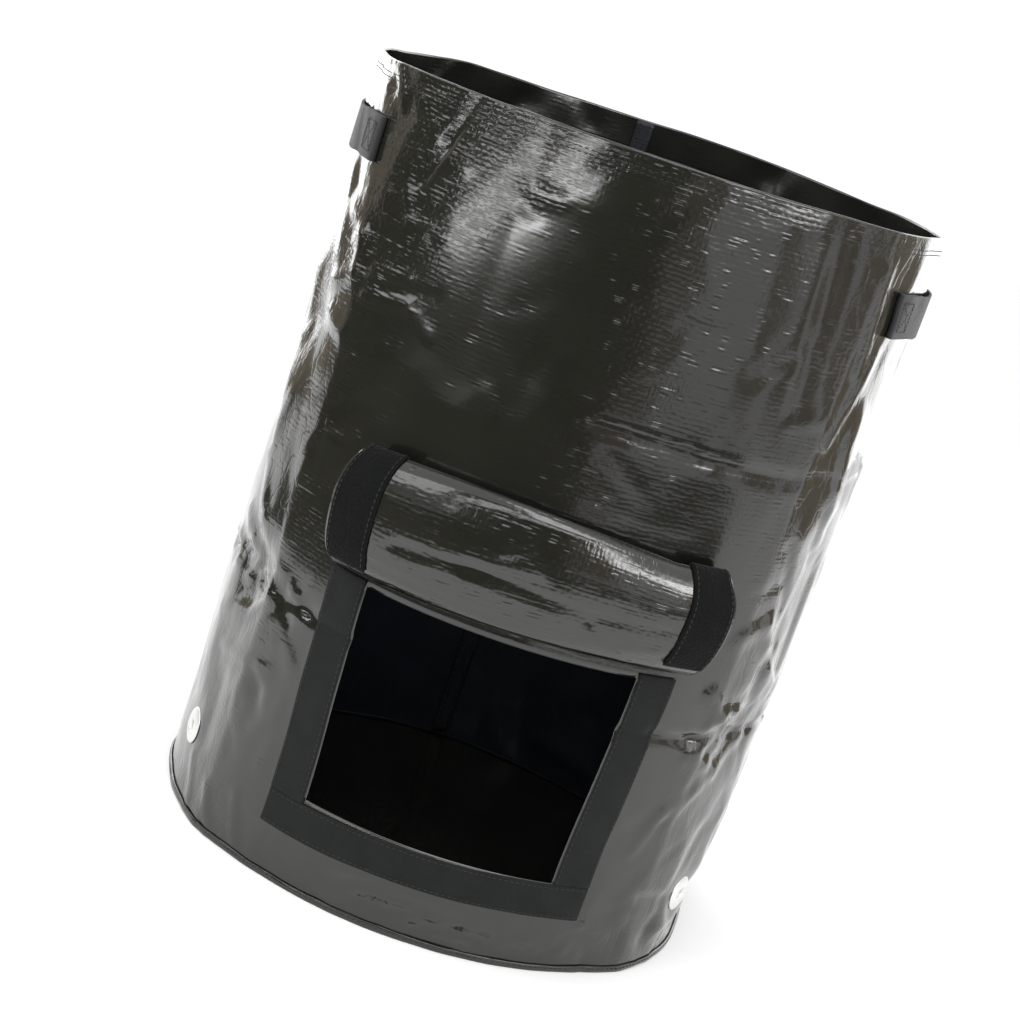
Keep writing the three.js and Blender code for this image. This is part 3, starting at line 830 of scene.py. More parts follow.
def pile_tape(name, colour, sizes, fine, depth, sheen):
    """Touch fastening: a woven ground under loops or hooks"""
    finish = Finish(name)
    lay = finish.lay()
    _, y, _ = finish.parts(lay)
    ribs = abs((y * (math.pi / sizes.webbing_pitch)).sine())
    tufts = finish.cells(lay, fine)
    fluff = finish.noise(lay, fine * 0.8, 4, 0.7)
    matted = finish.noise(lay, 60, 3)
    height = (1 - tufts.clamped()) * depth + fluff * depth + ribs * 0.06
    worn = (fluff * 0.8 + matted * 0.5 - 0.25).clamped()
    tone = finish.blend(worn, tinted(colour, 0.45), tinted(colour, 1.7))
    return finish.surface(
        height * MM,
        Base_Color=tone,
        Roughness=0.95 - 0.15 * matted,
        Specular_IOR_Level=sheen,
        Sheen_Weight=sheen * 0.4,
        Sheen_Roughness=0.45,
    )


def thread(name, colour):
    """Twisted polyester sewing thread"""
    finish = Finish(name)
    x, y, z = finish.parts(finish.spot())
    ply = abs(((x + y + z * 1.3) * 6000).sine())
    tone = finish.blend(ply, tinted(colour, 0.5), tinted(colour, 1.4))
    return finish.surface(ply * 0.00008, Base_Color=tone, Roughness=0.55 - 0.1 * ply)


def pressed_metal(name, colour):
    """Nickelled steel with fine handling marks"""
    finish = Finish(name)
    place = finish.spot()
    marks = finish.noise(place, 900, 4, 0.6)
    cloud = finish.noise(place, 140, 2)
    tone = finish.blend(cloud, tinted(colour, 0.86), tinted(colour))
    return finish.surface(
        marks * 0.00002,
        Base_Color=tone,
        Metallic=1.0,
        Roughness=0.42 + 0.16 * cloud,
    )


def floor_paint(name, colour):
    """Matt pale studio floor"""
    finish = Finish(name)
    grain = finish.noise(finish.spot(), 3, 2)
    tone = finish.blend(grain, tinted(colour, 0.985), tinted(colour))
    return finish.surface(Base_Color=tone, Roughness=0.9, Specular_IOR_Level=0.2)


def card_paint(name, colour):
    """Dull, unevenly toned card"""
    finish = Finish(name)
    tone = finish.blend(finish.noise(finish.spot(), 2), tinted(colour, 0.7), tinted(colour, 1.3))
    return finish.surface(Base_Color=tone, Roughness=1.0, Specular_IOR_Level=0.0)


# What a user would change


def metres(name, description, default, low=0.0001, high=1.0):
    return FloatProperty(
        name=name,
        description=description,
        default=default,
        min=low,
        max=high,
        precision=5,
        unit="LENGTH",
        subtype="DISTANCE",
    )


def tint(name, description, default):
    return FloatVectorProperty(
        name=name, description=description, default=default, size=3, min=0, max=1, subtype="COLOR"
    )


class GrowBagSizes(bpy.types.PropertyGroup):
    cloth: metres("Cloth", "Thickness of the woven cloth", 0.0006)
    weft_pitch: metres("Weft pitch", "Spacing of the level tapes in the weave", 0.0028)
    warp_pitch: metres("Warp pitch", "Spacing of the upright tapes in the weave", 0.0024)
    hem: metres("Hem", "Height of the hem turned in at the rim", 0.022)
    hem_turn: metres("Hem turn", "Radius of the hem's fold", 0.0007)
    seam_width: metres("Seam width", "Width of the seam allowance inside the back", 0.012)
    tape: metres("Tape", "Thickness of the touch fastening", 0.0016)
    webbing: metres("Webbing", "Thickness of the handles' webbing", 0.0015)
    webbing_pitch: metres("Webbing pitch", "Spacing of the ribs in webbing and tape", 0.0011)
    stitch: metres("Stitch", "Length of a stitch", 0.0027)
    stitch_pitch: metres("Stitch pitch", "Spacing of the stitches", 0.0034)
    thread: metres("Thread", "Thickness of the sewing thread", 0.0006)
    eyelet: metres("Eyelet", "Outer radius of a drain eyelet", 0.011)
    eyelet_bore: metres("Eyelet bore", "Radius of an eyelet's hole", 0.0031)


class GrowBagColours(bpy.types.PropertyGroup):
    cloth: tint("Cloth", "The cloth's outer face", (0.0085, 0.0086, 0.0068))
    lining: tint("Lining", "The cloth's inner face", (0.010, 0.0115, 0.016))
    cut: tint("Cut edge", "The cloth's cut edges", (0.12, 0.12, 0.11))
    webbing: tint("Webbing", "The handles' webbing", (0.013, 0.013, 0.014))
    loop_tape: tint("Loop tape", "The soft half of the fastening", (0.009, 0.0098, 0.0096))
    hook_tape: tint("Hook tape", "The hooked half of the fastening", (0.0035, 0.0037, 0.0042))
    thread: tint("Thread", "Sewing thread", (0.008, 0.008, 0.0086))
    metal: tint("Metal", "The eyelets", (0.86, 0.86, 0.85))


class GrowBagStage(bpy.types.PropertyGroup):
    floor: tint("Floor", "The studio floor", (0.955, 0.955, 0.955))
    surround: tint("Surround", "The light all round the bag", (1.0, 1.0, 1.0))
    card: tint("Dark card", "The card that the bag's front mirrors", (0.09, 0.088, 0.065))
    side_card: tint("Side card", "The card that the bag's sides mirror", (0.27, 0.23, 0.175))
    focal_length: metres("Focal length", "The camera's focal length", 0.075, 0.01, 0.5)


def sizes_of(context):
    return context.scene.grow_bag_sizes


def colours_of(context):
    return context.scene.grow_bag_colours


def finish_of(context, name):
    """The named material, made when a piece first asks for it"""
    if name in bpy.data.materials:
        return bpy.data.materials[name]
    sizes, colours = sizes_of(context), colours_of(context)
    makers = {
        "cloth_outside": lambda: tarpaulin(name, colours.cloth, sizes, 0.1, 1.0, 1.0),
        "cloth_inside": lambda: tarpaulin(name, colours.lining, sizes, 0.4, 0.34, 0.7),
        "cloth_flap": lambda: tarpaulin(name, colours.cloth, sizes, 0.1, 1.1, 0.5, 0.7, 1.6),
        "cut_edge": lambda: cut_edge(name, colours.cut),
        "strap_webbing": lambda: webbing(name, colours.webbing, sizes),
        "loop_pile": lambda: pile_tape(name, colours.loop_tape, sizes, 1400, 0.1, 0.2),
        "hook_pile": lambda: pile_tape(name, colours.hook_tape, sizes, 620, 0.42, 0.12),
        "sewing_thread": lambda: thread(name, colours.thread),
        "eyelet_nickel": lambda: pressed_metal(name, colours.metal),
    }
    return makers[name]()


# The bag's pieces


class GROWBAG_OT_wall(bpy.types.Operator):
    """Make the cloth tube with its hem, its window and the holes for the eyelets"""

    bl_idname = "growbag.wall"
    bl_label = "Wall"

    def execute(self, context):
        sizes = sizes_of(context)
        turn = sizes.hem_turn / MM
        start = BAG_HEIGHT - turn
        arc = math.pi * turn
        end = start + arc + sizes.hem / MM
        fine, coarse = 2.7 / ARC, 5.9 / ARC
        stops = [SEAM_AZIMUTH, -96, -WINDOW_HALF, WINDOW_HALF, 96, SEAM_AZIMUTH + 360]
        azimuths = graded(stops, [coarse, fine, fine, fine, coarse])
        turned = start + arc
        stops = [0, WINDOW_SILL, WINDOW_TOP, start - 1.5, start - 0.4, start]
        stops += [turned, turned + 0.5, end]
        lengths = graded(stops, [2.3, 3, 3.05, 1.1, 0.4, 0.55, 0.5, 4])

        def place(across, along):
            azimuth = across / ARC
            over = np.clip((along - start) / turn, 0, math.pi)
            down = np.maximum(0, along - start - arc)
            height = np.minimum(along, start) + turn * np.sin(over) - down
            return wall_point(azimuth, height, turn * (np.cos(over) - 1))

        def cut(across, along):
            window = (along > WINDOW_SILL) & (along < WINDOW_TOP)
            window &= np.abs(across / ARC) < WINDOW_HALF
            for middle in EYELETS.values():
                near = np.hypot((across / ARC - middle) * ARC, along - EYELET_HEIGHT)
                window |= near < EYELET_CUT
            return window

        def outside(along):
            return smoothstep(-along, -start - arc, -start)

        wall = sheet_piece(
            "wall_cloth",
            azimuths * ARC,
            lengths,
            place,
            cut,
            crumple=lambda x, y: crumple_share(x / ARC, y) * (0.15 + 0.85 * outside(y)),
            ribbing=lambda x, y: ribbing_share(x / ARC, y) * (0.1 + 0.9 * outside(y)),
        )
        clean(wall, closed=False)
        cloth = wall.data.uv_layers["cloth"].data
        for face in wall.data.polygons:
            if cloth[face.loop_start].uv[1] > (start + 0.3 * arc) * MM:
                face.material_index = 1
        dress(context, wall, "cloth_outside", "cloth_inside", "cut_edge")
        thicken(wall, sizes.cloth, material_offset=1, material_offset_rim=2)
        for face in wall.data.polygons:
            if face.material_index == 2 and face.center.z / MM > WINDOW_TOP + 50:
                face.material_index = 1
        settle(wall, ["bag_wall"])
        end * MM
        return {"FINISHED"}


class GROWBAG_OT_base(bpy.types.Operator):
    """Make the round cloth base and the sewn lip round the foot"""

    bl_idname = "growbag.base"
    bl_label = "Base"

    def execute(self, context):
        sizes = sizes_of(context)
        azimuths = graded([-180, 180], [3.6])
        shares = graded([0, 0.2, 1], [0.05, 0.055])

        def place(azimuth, share):
            azimuth = azimuth / ARC
            radius = share * (wall_radius(azimuth, 3.0) - 2.6) / 1000
            spot = polar(azimuth, radius, 0) / MM + 2 * RIM_RADIUS
            rise = 1.0 + 0.45 * field(spot[..., 0], spot[..., 1], 30, 41)
            return polar(azimuth, radius, np.minimum(rise, 1.45))

        stations = azimuths * ARC, shares * 1000
        base = sheet_piece("base_cloth", *stations, place, crumple=0.4, ribbing=0.4)
        clean(base, closed=False)
        mesh = base.data
        points = np.empty(len(mesh.vertices) * 3)
        mesh.vertices.foreach_get("co", points)
        points = points.reshape(-1, 3)
        corner = np.empty(len(mesh.loops), dtype=int)
        mesh.loops.foreach_get("vertex_index", corner)
        mesh.uv_layers["cloth"].data.foreach_set("uv", points[corner, :2].ravel())
        dress(context, base, "cloth_inside", "cloth_outside")
        thicken(base, sizes.cloth, material_offset=1)
        settle(base, ["bag_base"])

        turns = np.append(np.arange(len(LIP_SECTION)), 0)

        def lip_place(across, along):
            k = np.rint(along).astype(int)
            out, up = LIP_SECTION[turns[k], 0], LIP_SECTION[turns[k], 1]
            azimuth = across / ARC
            sway = field(azimuth * ARC, 0 * azimuth, 24, 42)
            out = out * (0.9 + 0.25 * field(azimuth * ARC, up, 14, 43))
            up = up * (0.8 + 0.06 * sway + 0.04 * field(azimuth * ARC, 0 * azimuth, 9, 44))
            return wall_point(azimuth, np.maximum(up, 0.05), out + 0.15)

        around = graded([-180, 180], [4 / ARC]) * ARC
        along = np.arange(len(turns), dtype=float)
        lip = sheet_piece("base_lip", around, along, lip_place, crumple=0.7, ribbing=0.4)
        clean(lip)
        dress(context, lip, "cloth_outside")
        settle(lip, ["base_seam"])
        ring = np.linspace(-180, 180, 1441)
        rows = [(*wall_row(ring, 2.3, 1.35), 3.4 * MM, [0])]
        sew(context, "base_stitches", rows)
        return {"FINISHED"}


class GROWBAG_OT_seams(bpy.types.Operator):
    """Make the rim's stitching and the seam allowance inside the back"""

    bl_idname = "growbag.seams"
    bl_label = "Seams"

    def execute(self, context):
        sizes = sizes_of(context)
        cloth = sizes.cloth / MM
        ring = np.linspace(SEAM_AZIMUTH, SEAM_AZIMUTH + 360, 1801)
        hem = sizes.hem / MM
        levels = [BAG_HEIGHT - down for down in HEM_ROWS]
        rows = [(*wall_row(ring, level, 0.12), sizes.stitch_pitch, [0]) for level in levels]
        sew(context, "hem_stitches", rows)
        half = sizes.seam_width / MM / 2 / ARC
        azimuths = graded([SEAM_AZIMUTH - half, SEAM_AZIMUTH + half], [1.5 / ARC])
        stops = [2.5, BAG_HEIGHT - hem - 4, BAG_HEIGHT - hem + 4, BAG_HEIGHT - 0.8]
        heights = graded(stops, [4, 1.5, 3])
        turned = 2 * sizes.hem_turn / MM + 0.15

        def inset(height):
            under = smoothstep(height, BAG_HEIGHT - hem - 3, BAG_HEIGHT - hem + 1)
            return -(cloth + 0.1) - under * (turned - cloth)

        def place(across, along):
            azimuth = across / ARC
            edge = (np.abs(azimuth - SEAM_AZIMUTH) / half) ** 6
            ripple = 0.25 * field(across, along, 11, 51) * (1 - edge)
            return wall_point(azimuth, along, inset(along) - 0.7 + 0.5 * edge + ripple)

        stations = azimuths * ARC, heights
        seam = sheet_piece("back_seam_allowance", *stations, place, crumple=0.5, ribbing=0.4)
        dress(context, seam, "cloth_inside", "cloth_inside", "cut_edge")
        thicken(seam, sizes.cloth, material_offset=1, material_offset_rim=2)
        settle(seam, ["back_seam"])
        up = np.linspace(4, BAG_HEIGHT - 2, 700)
        rows = []
        for side in (-0.5, 0.5):
            azimuth = SEAM_AZIMUTH + side * half
            path = wall_point(azimuth, up, inset(up) - 1.5)
            rows.append((path, -way_out(azimuth + 0 * up, up), 2.3 * MM, [38, -38]))
        sew(context, "back_seam_stitches", rows, 1.1, 1.3)
        return {"FINISHED"}


def tape_patch(context, name, azimuths, heights, place, kind, node):
    """A strip of touch fastening, loop or hook, with softened edges"""
    strip = sheet_piece(name, azimuths * ARC, heights, place)
    dress(context, strip, f"{kind}_pile")
    modify(strip, "SOLIDIFY", thickness=sizes_of(context).tape, offset=1)
    soften(strip, 0.0005)
    settle(strip, [node])


class GROWBAG_OT_window_tapes(bpy.types.Operator):
    """Make the loop tape round three sides of the window"""

    bl_idname = "growbag.window_tapes"
    bl_label = "Window tapes"

    def execute(self, context):
        sizes = sizes_of(context)
        thick = sizes.tape / MM

        def on_wall(across, along):
            azimuth = across / ARC
            return wall_point(azimuth, along, 0.25 + 0.1 * field(across, along, 16, 61))

        half = TAPE_HALF
        sill_azimuths = graded([-half + 0.1, half - 0.1], [2.2 / ARC])
        sill_low, sill_high = TAPE_FOOT + 2, WINDOW_SILL - 1.2
        sill_heights = graded([sill_low, sill_high], [2.4])

        def slope(across):
            return 1.6 * across / half / ARC + 0.4 * field(across, 0 * across, 26, 62)

        def sill_place(across, along):
            return on_wall(across, along + slope(across))

        stations = sill_azimuths, sill_heights
        tape_patch(context, "sill_loop_tape", *stations, sill_place, "loop", "sill_tape")
        rows = []
        for level in (sill_low + SEWN_IN, sill_high - SEWN_IN):
            line = np.linspace(-half + 0.7, half - 0.7, 300)
            path, out = wall_row(line, level + 1.6 * line / half, thick + 0.35)
            rows.append((path, out, sizes.stitch_pitch, [0]))
        for side, word in ((-1, "left"), (1, "right")):
            inner, outer = side * (WINDOW_HALF + 0.15), side * (half - 0.1)
            azimuths = graded(sorted((inner, outer)), [2.2 / ARC])
            heights = graded([sill_high + 0.15, 146, 158, TAPE_HEAD], [2.4, 1.2, 2.4])

            def side_place(across, along, side=side):
                sway = 0.5 * field(0 * across + 40 * side, along, 30, 63)
                kink = 0.9 * np.exp(-(((along - 153) / 4) ** 2)) * side
                foot = slope(across) * (1 - smoothstep(along, WINDOW_SILL, WINDOW_SILL + 30))
                return on_wall(across + sway + kink, along + foot)

            name, node = f"side_loop_tape_{word}", f"side_tape_{word}"
            tape_patch(context, name, azimuths, heights, side_place, "loop", node)
            up = np.linspace(WINDOW_SILL + 0.6, TAPE_HEAD - 2, 200)
            for inset in (SEWN_IN, TAPE_WIDTH - SEWN_IN):
                azimuth = side * (WINDOW_HALF + inset / ARC)
                path, out = wall_row(azimuth, up, thick + 0.35)
                rows.append((path, out, sizes.stitch_pitch, [0]))
        sew(context, "window_tape_stitches", rows)
        return {"FINISHED"}


def smooth_line(points, count):
    """A Catmull-Rom line through the points, evenly spaced along itself"""
    padded = np.vstack((2 * points[0] - points[1], points, 2 * points[-1] - points[-2]))
    fine = []
    for before, start, end, after in zip(padded, padded[1:], padded[2:], padded[3:]):
        for t in np.linspace(0, 1, 40, endpoint=False):
            fine.append(
                0.5
                * (
                    2 * start
                    + (end - before) * t
                    + (2 * before - 5 * start + 4 * end - after) * t * t
                    + (3 * start - before - 3 * end + after) * t**3
                )
            )
    fine = np.array(fine + [padded[-2]])
    run = np.concatenate(((0,), np.cumsum(np.linalg.norm(np.diff(fine, axis=0), axis=1))))
    even = np.linspace(0, run[-1], count)
    return read_line(even, run, fine), run[-1]


FLAP_SECTION, FLAP_LENGTH = smooth_line(
    np.array(
        [
            (1.35 + tape * 1.9 + (FLAP_DEPTH - 1.35 - tape * 1.9) * out, up * FLAP_HEIGHT)
            for out, up, tape in FLAP_LINE
        ]
    ),
    400,
)
FLAP_RUN = np.linspace(0, FLAP_LENGTH, len(FLAP_SECTION))
FLAP_SLOPE = np.gradient(FLAP_SECTION, FLAP_RUN, axis=0)


def flap_point(across, along, off=0.0):
    """Points on the folded flap: along runs from its sewn edge, off is towards its taped side"""
    along = np.clip(along, 0, FLAP_LENGTH)
    out = np.interp(along, FLAP_RUN, FLAP_SECTION[:, 0])
    up = np.interp(along, FLAP_RUN, FLAP_SECTION[:, 1])
    slope_out = np.interp(along, FLAP_RUN, FLAP_SLOPE[:, 0])
    slope_up = np.interp(along, FLAP_RUN, FLAP_SLOPE[:, 1])
    front = np.clip(out / FLAP_DEPTH, 0, 1)
    level = (2 * up / FLAP_HEIGHT - 1) ** 4
    azimuth = across / ARC
    end = azimuth / FLAP_HALF
    azimuth = azimuth * (1 - 0.07 * level * front * end**2) * 0.974 + 2.1
    up = up + (34 - up) * 0.19 * smoothstep(azimuth, -34, 38) * front
    arch = np.maximum(4.2 - 0.0065 * (azimuth + 4) ** 2, -1.6)
    up = up + arch * smoothstep(up, 25, 66)
    rise = sum(crease_height(azimuth * ARC, up, crease) for crease in FLAP_CREASES)
    rise = rise + 0.5 * field(across, along, 46, 71) + 0.25 * field(across, along, 15, 72, True)
    facing = smoothstep(front, 0.5, 0.9)
    pillow = -1.2 * np.cos(azimuth / FLAP_HALF * math.pi * 1.5) * facing
    away = off + rise * facing
    out = out + slope_up * away + pillow
    height = up - slope_out * away
    lift = FLAP_END_LIFT * end**2 * front
    height = height + FLAP_FOOT_LEVEL + facing * np.sin(azimuth / 11)
    under = form_radius(azimuth, np.clip(height, 0, BAG_HEIGHT))
    bumps = relief(azimuth, height) - fold_depth(azimuth, height)
    return polar(azimuth, under + out + lift + bumps * (1 - front), height)


class GROWBAG_OT_flap(bpy.types.Operator):
    """Make the window's flap, folded up and back on itself"""

    bl_idname = "growbag.flap"
    bl_label = "Flap"

    def execute(self, context):
        sizes = sizes_of(context)
        half = FLAP_HALF
        azimuths = graded([-half, half], [2.2 / ARC])
        lengths = graded([0, FLAP_LENGTH], [2.0])
        stations = azimuths * ARC, lengths
        flap = sheet_piece("flap_cloth", *stations, flap_point, crumple=0.25, ribbing=0.7)
        dress(context, flap, "cloth_flap", "cloth_flap", "cut_edge")
        thicken(flap, sizes.cloth, material_offset_rim=2)
        settle(flap, ["flap"])
        outer = half - 2 / ARC
        inner = outer - TAPE_WIDTH / ARC
        start, end = 0.16 * FLAP_LENGTH, 0.97 * FLAP_LENGTH
        rows = []

        def tape_place(across, along):
            return flap_point(across, along, 0.2)

        for side, word in ((-1, "left"), (1, "right")):
            azimuths = graded(sorted((side * inner, side * outer)), [2.0 / ARC])
            name, lengths = f"flap_hook_tape_{word}", graded([start, end], [2.0])
            tape_patch(context, name, azimuths, lengths, tape_place, "hook", f"flap_tape_{word}")
            run = np.linspace(start + 2, end - 2, 300)
            for inset in (FLAP_SEWN_IN, TAPE_WIDTH - FLAP_SEWN_IN):
                across = side * (outer * ARC - inset) + 0 * run
                out = flap_point(across, run, 4) - flap_point(across, run, 0)
                path = flap_point(across, run, sizes.tape / MM + 0.3)
                rows.append((path, out, sizes.stitch_pitch, [0]))
        end_half = inner - 0.4 / ARC
        azimuths = graded([-end_half, end_half], [3 / ARC])
        lengths = graded([0.84 * FLAP_LENGTH, end], [2.4])
        name = "flap_end_hook_tape"
        tape_patch(context, name, azimuths, lengths, tape_place, "hook", "flap_end_tape")
        sew(context, "flap_tape_stitches", rows)
        return {"FINISHED"}


def handle_path():
    """The strap's run along the wall and how far out it lies, from one turned end to the other"""
    under, over, span = 0.95, 2.75, HANDLE_SPAN
    points = [(HANDLE_SEWN, under), (HANDLE_SEWN / 2, under), (1.2, under), (0.1, 1.85)]
    points += [(1.2, over), (HANDLE_SEWN / 2, over), (HANDLE_SEWN - 2, over)]
    for share in np.linspace(0, 1, 25)[1:-1]:
        run = HANDLE_SEWN + share * (span - 2 * HANDLE_SEWN)
        lift = 1.5 * math.sin(math.pi * share ** (math.log(0.5) / math.log(0.66))) ** 2
        points.append((run, over + lift))
    points += [(span - HANDLE_SEWN + 2, over), (span - HANDLE_SEWN / 2, over), (span - 1.2, over)]
    points += [(span - 0.1, 1.85), (span - 1.2, under)]
    points += [(span - HANDLE_SEWN / 2, under), (span - HANDLE_SEWN, under)]
    return smooth_line(np.array(points), 260)


class GROWBAG_OT_handles(bpy.types.Operator):
    """Make the two webbing handles with their box stitching"""

    bl_idname = "growbag.handles"
    bl_label = "Handles"

    def execute(self, context):
        sizes = sizes_of(context)
        line, length = handle_path()
        run = np.linspace(0, length, len(line))
        first, last = HANDLE_SEWN, length - HANDLE_SEWN
        stops = [0, first - 2, first + 4, last - 4, last + 2, length]
        lengths = graded(stops, [2.4, 0.7, 2.4, 0.7, 2.4])
        sewn_again = HANDLE_SPAN - HANDLE_SEWN
        across = graded([HANDLE_FOOT, HANDLE_HEAD], [2.1])
        middle = (HANDLE_FOOT + HANDLE_HEAD) / 2
        rows = []
        for side, word in ((-1, "left"), (1, "right")):

            def strap(height, along, off=0.0, side=side):
                where = np.interp(along, run, line[:, 0])
                out = np.interp(along, run, line[:, 1]) + off
                azimuth = side * (HANDLE_START + where / ARC)
                free = smoothstep(where, HANDLE_SEWN, HANDLE_SEWN + 20)
                free = free * (1 - smoothstep(where, sewn_again - 20, sewn_again))
                ground = form_radius(azimuth, middle + 0 * height)
                local = wall_radius(azimuth, height)
                radius = local + (ground - local) * free
                sag = -1.2 * np.sin(math.pi * where / HANDLE_SPAN) * free
                return polar(azimuth, radius + out, height + sag)

            strip = sheet_piece(
                f"handle_webbing_{word}",
                lengths,
                across,
                lambda along, height, strap=strap: strap(height, along),
            )
            dress(context, strip, "strap_webbing")
            modify(strip, "SOLIDIFY", thickness=sizes.webbing, offset=0)
            soften(strip, 0.0004)
            clean(strip)
            settle(strip, [f"handle_{word}"])
            turn = run[np.argmin(np.abs(line[: len(line) // 2, 0]))]
            box = sizes.webbing / MM / 2 + 0.1
            low, high = middle - BOX_HALF, middle + BOX_HALF
            starts = turn + BOX_IN, turn + BOX_IN + BOX_LENGTH
            for near, far in (starts, (length - starts[0], length - starts[1])):
                corners_of = ((near, low), (near, high), (far, high), (far, low), (near, low))
                cross = (((near, low), (far, high)), ((near, high), (far, low)))
                for start, end in [*zip(corners_of, corners_of[1:]), *cross]:
                    share = np.linspace(0, 1, 24)
                    along = start[0] + share * (end[0] - start[0])
                    height = start[1] + share * (end[1] - start[1])
                    out = strap(height, along, 4) - strap(height, along)
                    rows.append((strap(height, along, box), out, 2.5 * MM, [0]))
        sew(context, "handle_stitches", rows, 0.85, 1.1)
        return {"FINISHED"}


class GROWBAG_OT_eyelets(bpy.types.Operator):
    """Make the four drain eyelets, each a domed ring, a barrel and a washer"""

    bl_idname = "growbag.eyelets"
    bl_label = "Eyelets"

    def execute(self, context):
        sizes = sizes_of(context)
        rim, bore = sizes.eyelet / MM, sizes.eyelet_bore / MM
        profile = (
            (bore + 0.2, -3.3),
            (bore, -2.2),
            (bore, 0.6),
            (bore + 0.5, 1.5),
            (bore + 1.6, 2.0),
            (bore + 3.2, 1.9),
            (rim - 2.0, 1.3),
            (rim - 0.5, 0.7),
            (rim, 0.25),
            (rim - 0.3, 0.05),
            (bore + 1.2, 0.1),
            (bore + 1.2, -1.5),
            (rim - 2.6, -1.55),
            (rim - 1.6, -1.75),
            (rim - 1.5, -2.05),
            (rim - 2.4, -2.3),
            (bore + 2.2, -2.6),
            (bore + 1.3, -3.3),
            (bore + 0.7, -3.6),
        )
        deselect()
        bpy.ops.mesh.primitive_circle_add(vertices=len(profile), radius=1)
        unit = bpy.context.object
        for vertex, (radius, out) in zip(unit.data.vertices, profile):
            vertex.co = Vector((radius, 0, out)) * MM
        bpy.ops.object.mode_set(mode="EDIT")
        bpy.ops.mesh.select_all(action="SELECT")
        bpy.ops.mesh.spin(
            steps=48, angle=2 * math.pi, center=(0, 0, 0), axis=(0, 0, 1), use_auto_merge=True
        )
        bpy.ops.object.mode_set(mode="OBJECT")
        clean(unit)
        for word, azimuth in EYELETS.items():
            mesh = unit.data.copy()
            mesh.name = f"eyelet_{word}_ring"
            piece = bpy.data.objects.new(mesh.name, mesh)
            context.scene.collection.objects.link(piece)
            centre = Vector(wall_point(azimuth, EYELET_HEIGHT, 0.1))
            turn = math.radians(azimuth)
            out = Vector((math.sin(turn), -math.cos(turn), 0.03)).normalized()
            side = Vector((math.cos(turn), math.sin(turn), 0))
            up = out.cross(side)
            frame_of = Matrix((side, up, out)).transposed().to_4x4()
            mesh.transform(Matrix.Translation(centre) @ frame_of)
            clean(piece)
            dress(context, piece, "eyelet_nickel")
            settle(piece, [f"eyelet_{word}"])
        bpy.data.objects.remove(unit)
        return {"FINISHED"}


# The studio


# Cards that show only in what the bag mirrors: name, tone, azimuths, and the radii and heights in
# metres of the two long edges
CARDS = (
    ("dark_card_low", "dark", (-105, 12), (0.64, 2.2), (0.003, 0.003)),
    ("dark_card_near", "dark", (12, 66), (0.8, 1.5), (0.003, 0.003)),
    ("dark_card_roll", "dark", (-82, -16), (0.6, 0.6), (0.236, 0.316)),
    ("dark_card_tall", "dark", (-105, 12), (2.2, 2.2), (0.003, 1.9)),
    ("brown_card_left", "brown", (-128, -104), (1.3, 1.3), (0, 0.7)),
    ("brown_card_right", "brown", (104, 126), (1.3, 1.3), (0, 0.6)),
    ("brown_card_front", "brown", (12, 24), (2.15, 2.15), (0, 1.9)),
    ("brown_strip_52", "brown", (52, 60), (1.5, 1.5), (0.12, 0.9)),
    ("brown_strip_67", "brown", (67, 77), (1.5, 1.5), (0.12, 0.9)),
    ("brown_strip_84", "brown", (84, 92), (1.5, 1.5), (0.12, 0.9)),
    ("pale_card_back", "pale", (161, 199), (1.6, 1.6), (0, 1.2)),
)

# Lights: name, place and aim, width and height in metres, brightness, turn in degrees, and
# whether it shows only in what the bag mirrors
LIGHTS = (
    ("patch_light", (-0.55, -0.99, 0.352), (-0.05, -0.16, 0.43), 0.5, 0.05, 16, 14, True),
    ("patch_light_left", (-0.9, -0.68, 0.302), (-0.09, -0.14, 0.41), 0.52, 0.06, 11, 12, True),
    ("roll_light", (0.8, -0.88, 0.6), (0.05, -0.18, 0.25), 0.9, 0.16, 9, 0, True),
    ("weave_light", (0.15, -1.2, 0.78), (0, -0.17, 0.38), 1.3, 0.22, 3.5, 0, True),
    ("left_light", (-0.84, -1.0, 0.9), (0, 0, 0.35), 0.7, 0.6, 3.2, 0, False),
    ("far_left_light", (-1.27, -0.3, 0.85), (0, 0, 0.3), 0.8, 0.7, 3.0, 0, False),
    ("right_light", (1.25, -0.65, 0.75), (0, 0, 0.3), 0.8, 0.7, 1.6, 0, False),
    ("overhead_light", (0.35, -1.0, 1.7), (0, 0, 0.3), 1.0, 0.6, 4, 0, False),
    ("left_rim_light", (-0.86, 1.2, 0.6), (0, 0, 0.25), 0.8, 1.1, 2.4, 0, False),
    ("right_rim_light", (0.86, 1.2, 0.6), (0, 0, 0.25), 0.8, 1.1, 1.6, 0, False),
)
SURROUND_STRENGTH = 1.06

# The camera, fitted to the photograph: place in metres, then pitch, yaw and roll in degrees
CAMERA_PLACE = (0, -1.252, 0.517)
CAMERA_TURN = (13.7, -0.76, 18.85)
SENSOR_WIDTH = 36


def panel(name, centre, towards, width, height, strength, tilt, mirrored_only):
    """A soft light that shines towards a point, its strength being how bright it looks"""
    data = bpy.data.lights.new(name, "AREA")
    data.shape = "RECTANGLE"
    data.size, data.size_y = width, height
    data.energy = strength * math.pi * width * height
    light = bpy.data.objects.new(name, data)
    bpy.context.scene.collection.objects.link(light)
    light.location = centre
    aim = (Vector(towards) - Vector(centre)).to_track_quat("-Z", "Y")
    spun = Matrix.Rotation(math.radians(tilt), 3, "Z").to_quaternion()
    light.rotation_euler = (aim @ spun).to_euler()
    light.visible_camera = False
    light.visible_diffuse = not mirrored_only


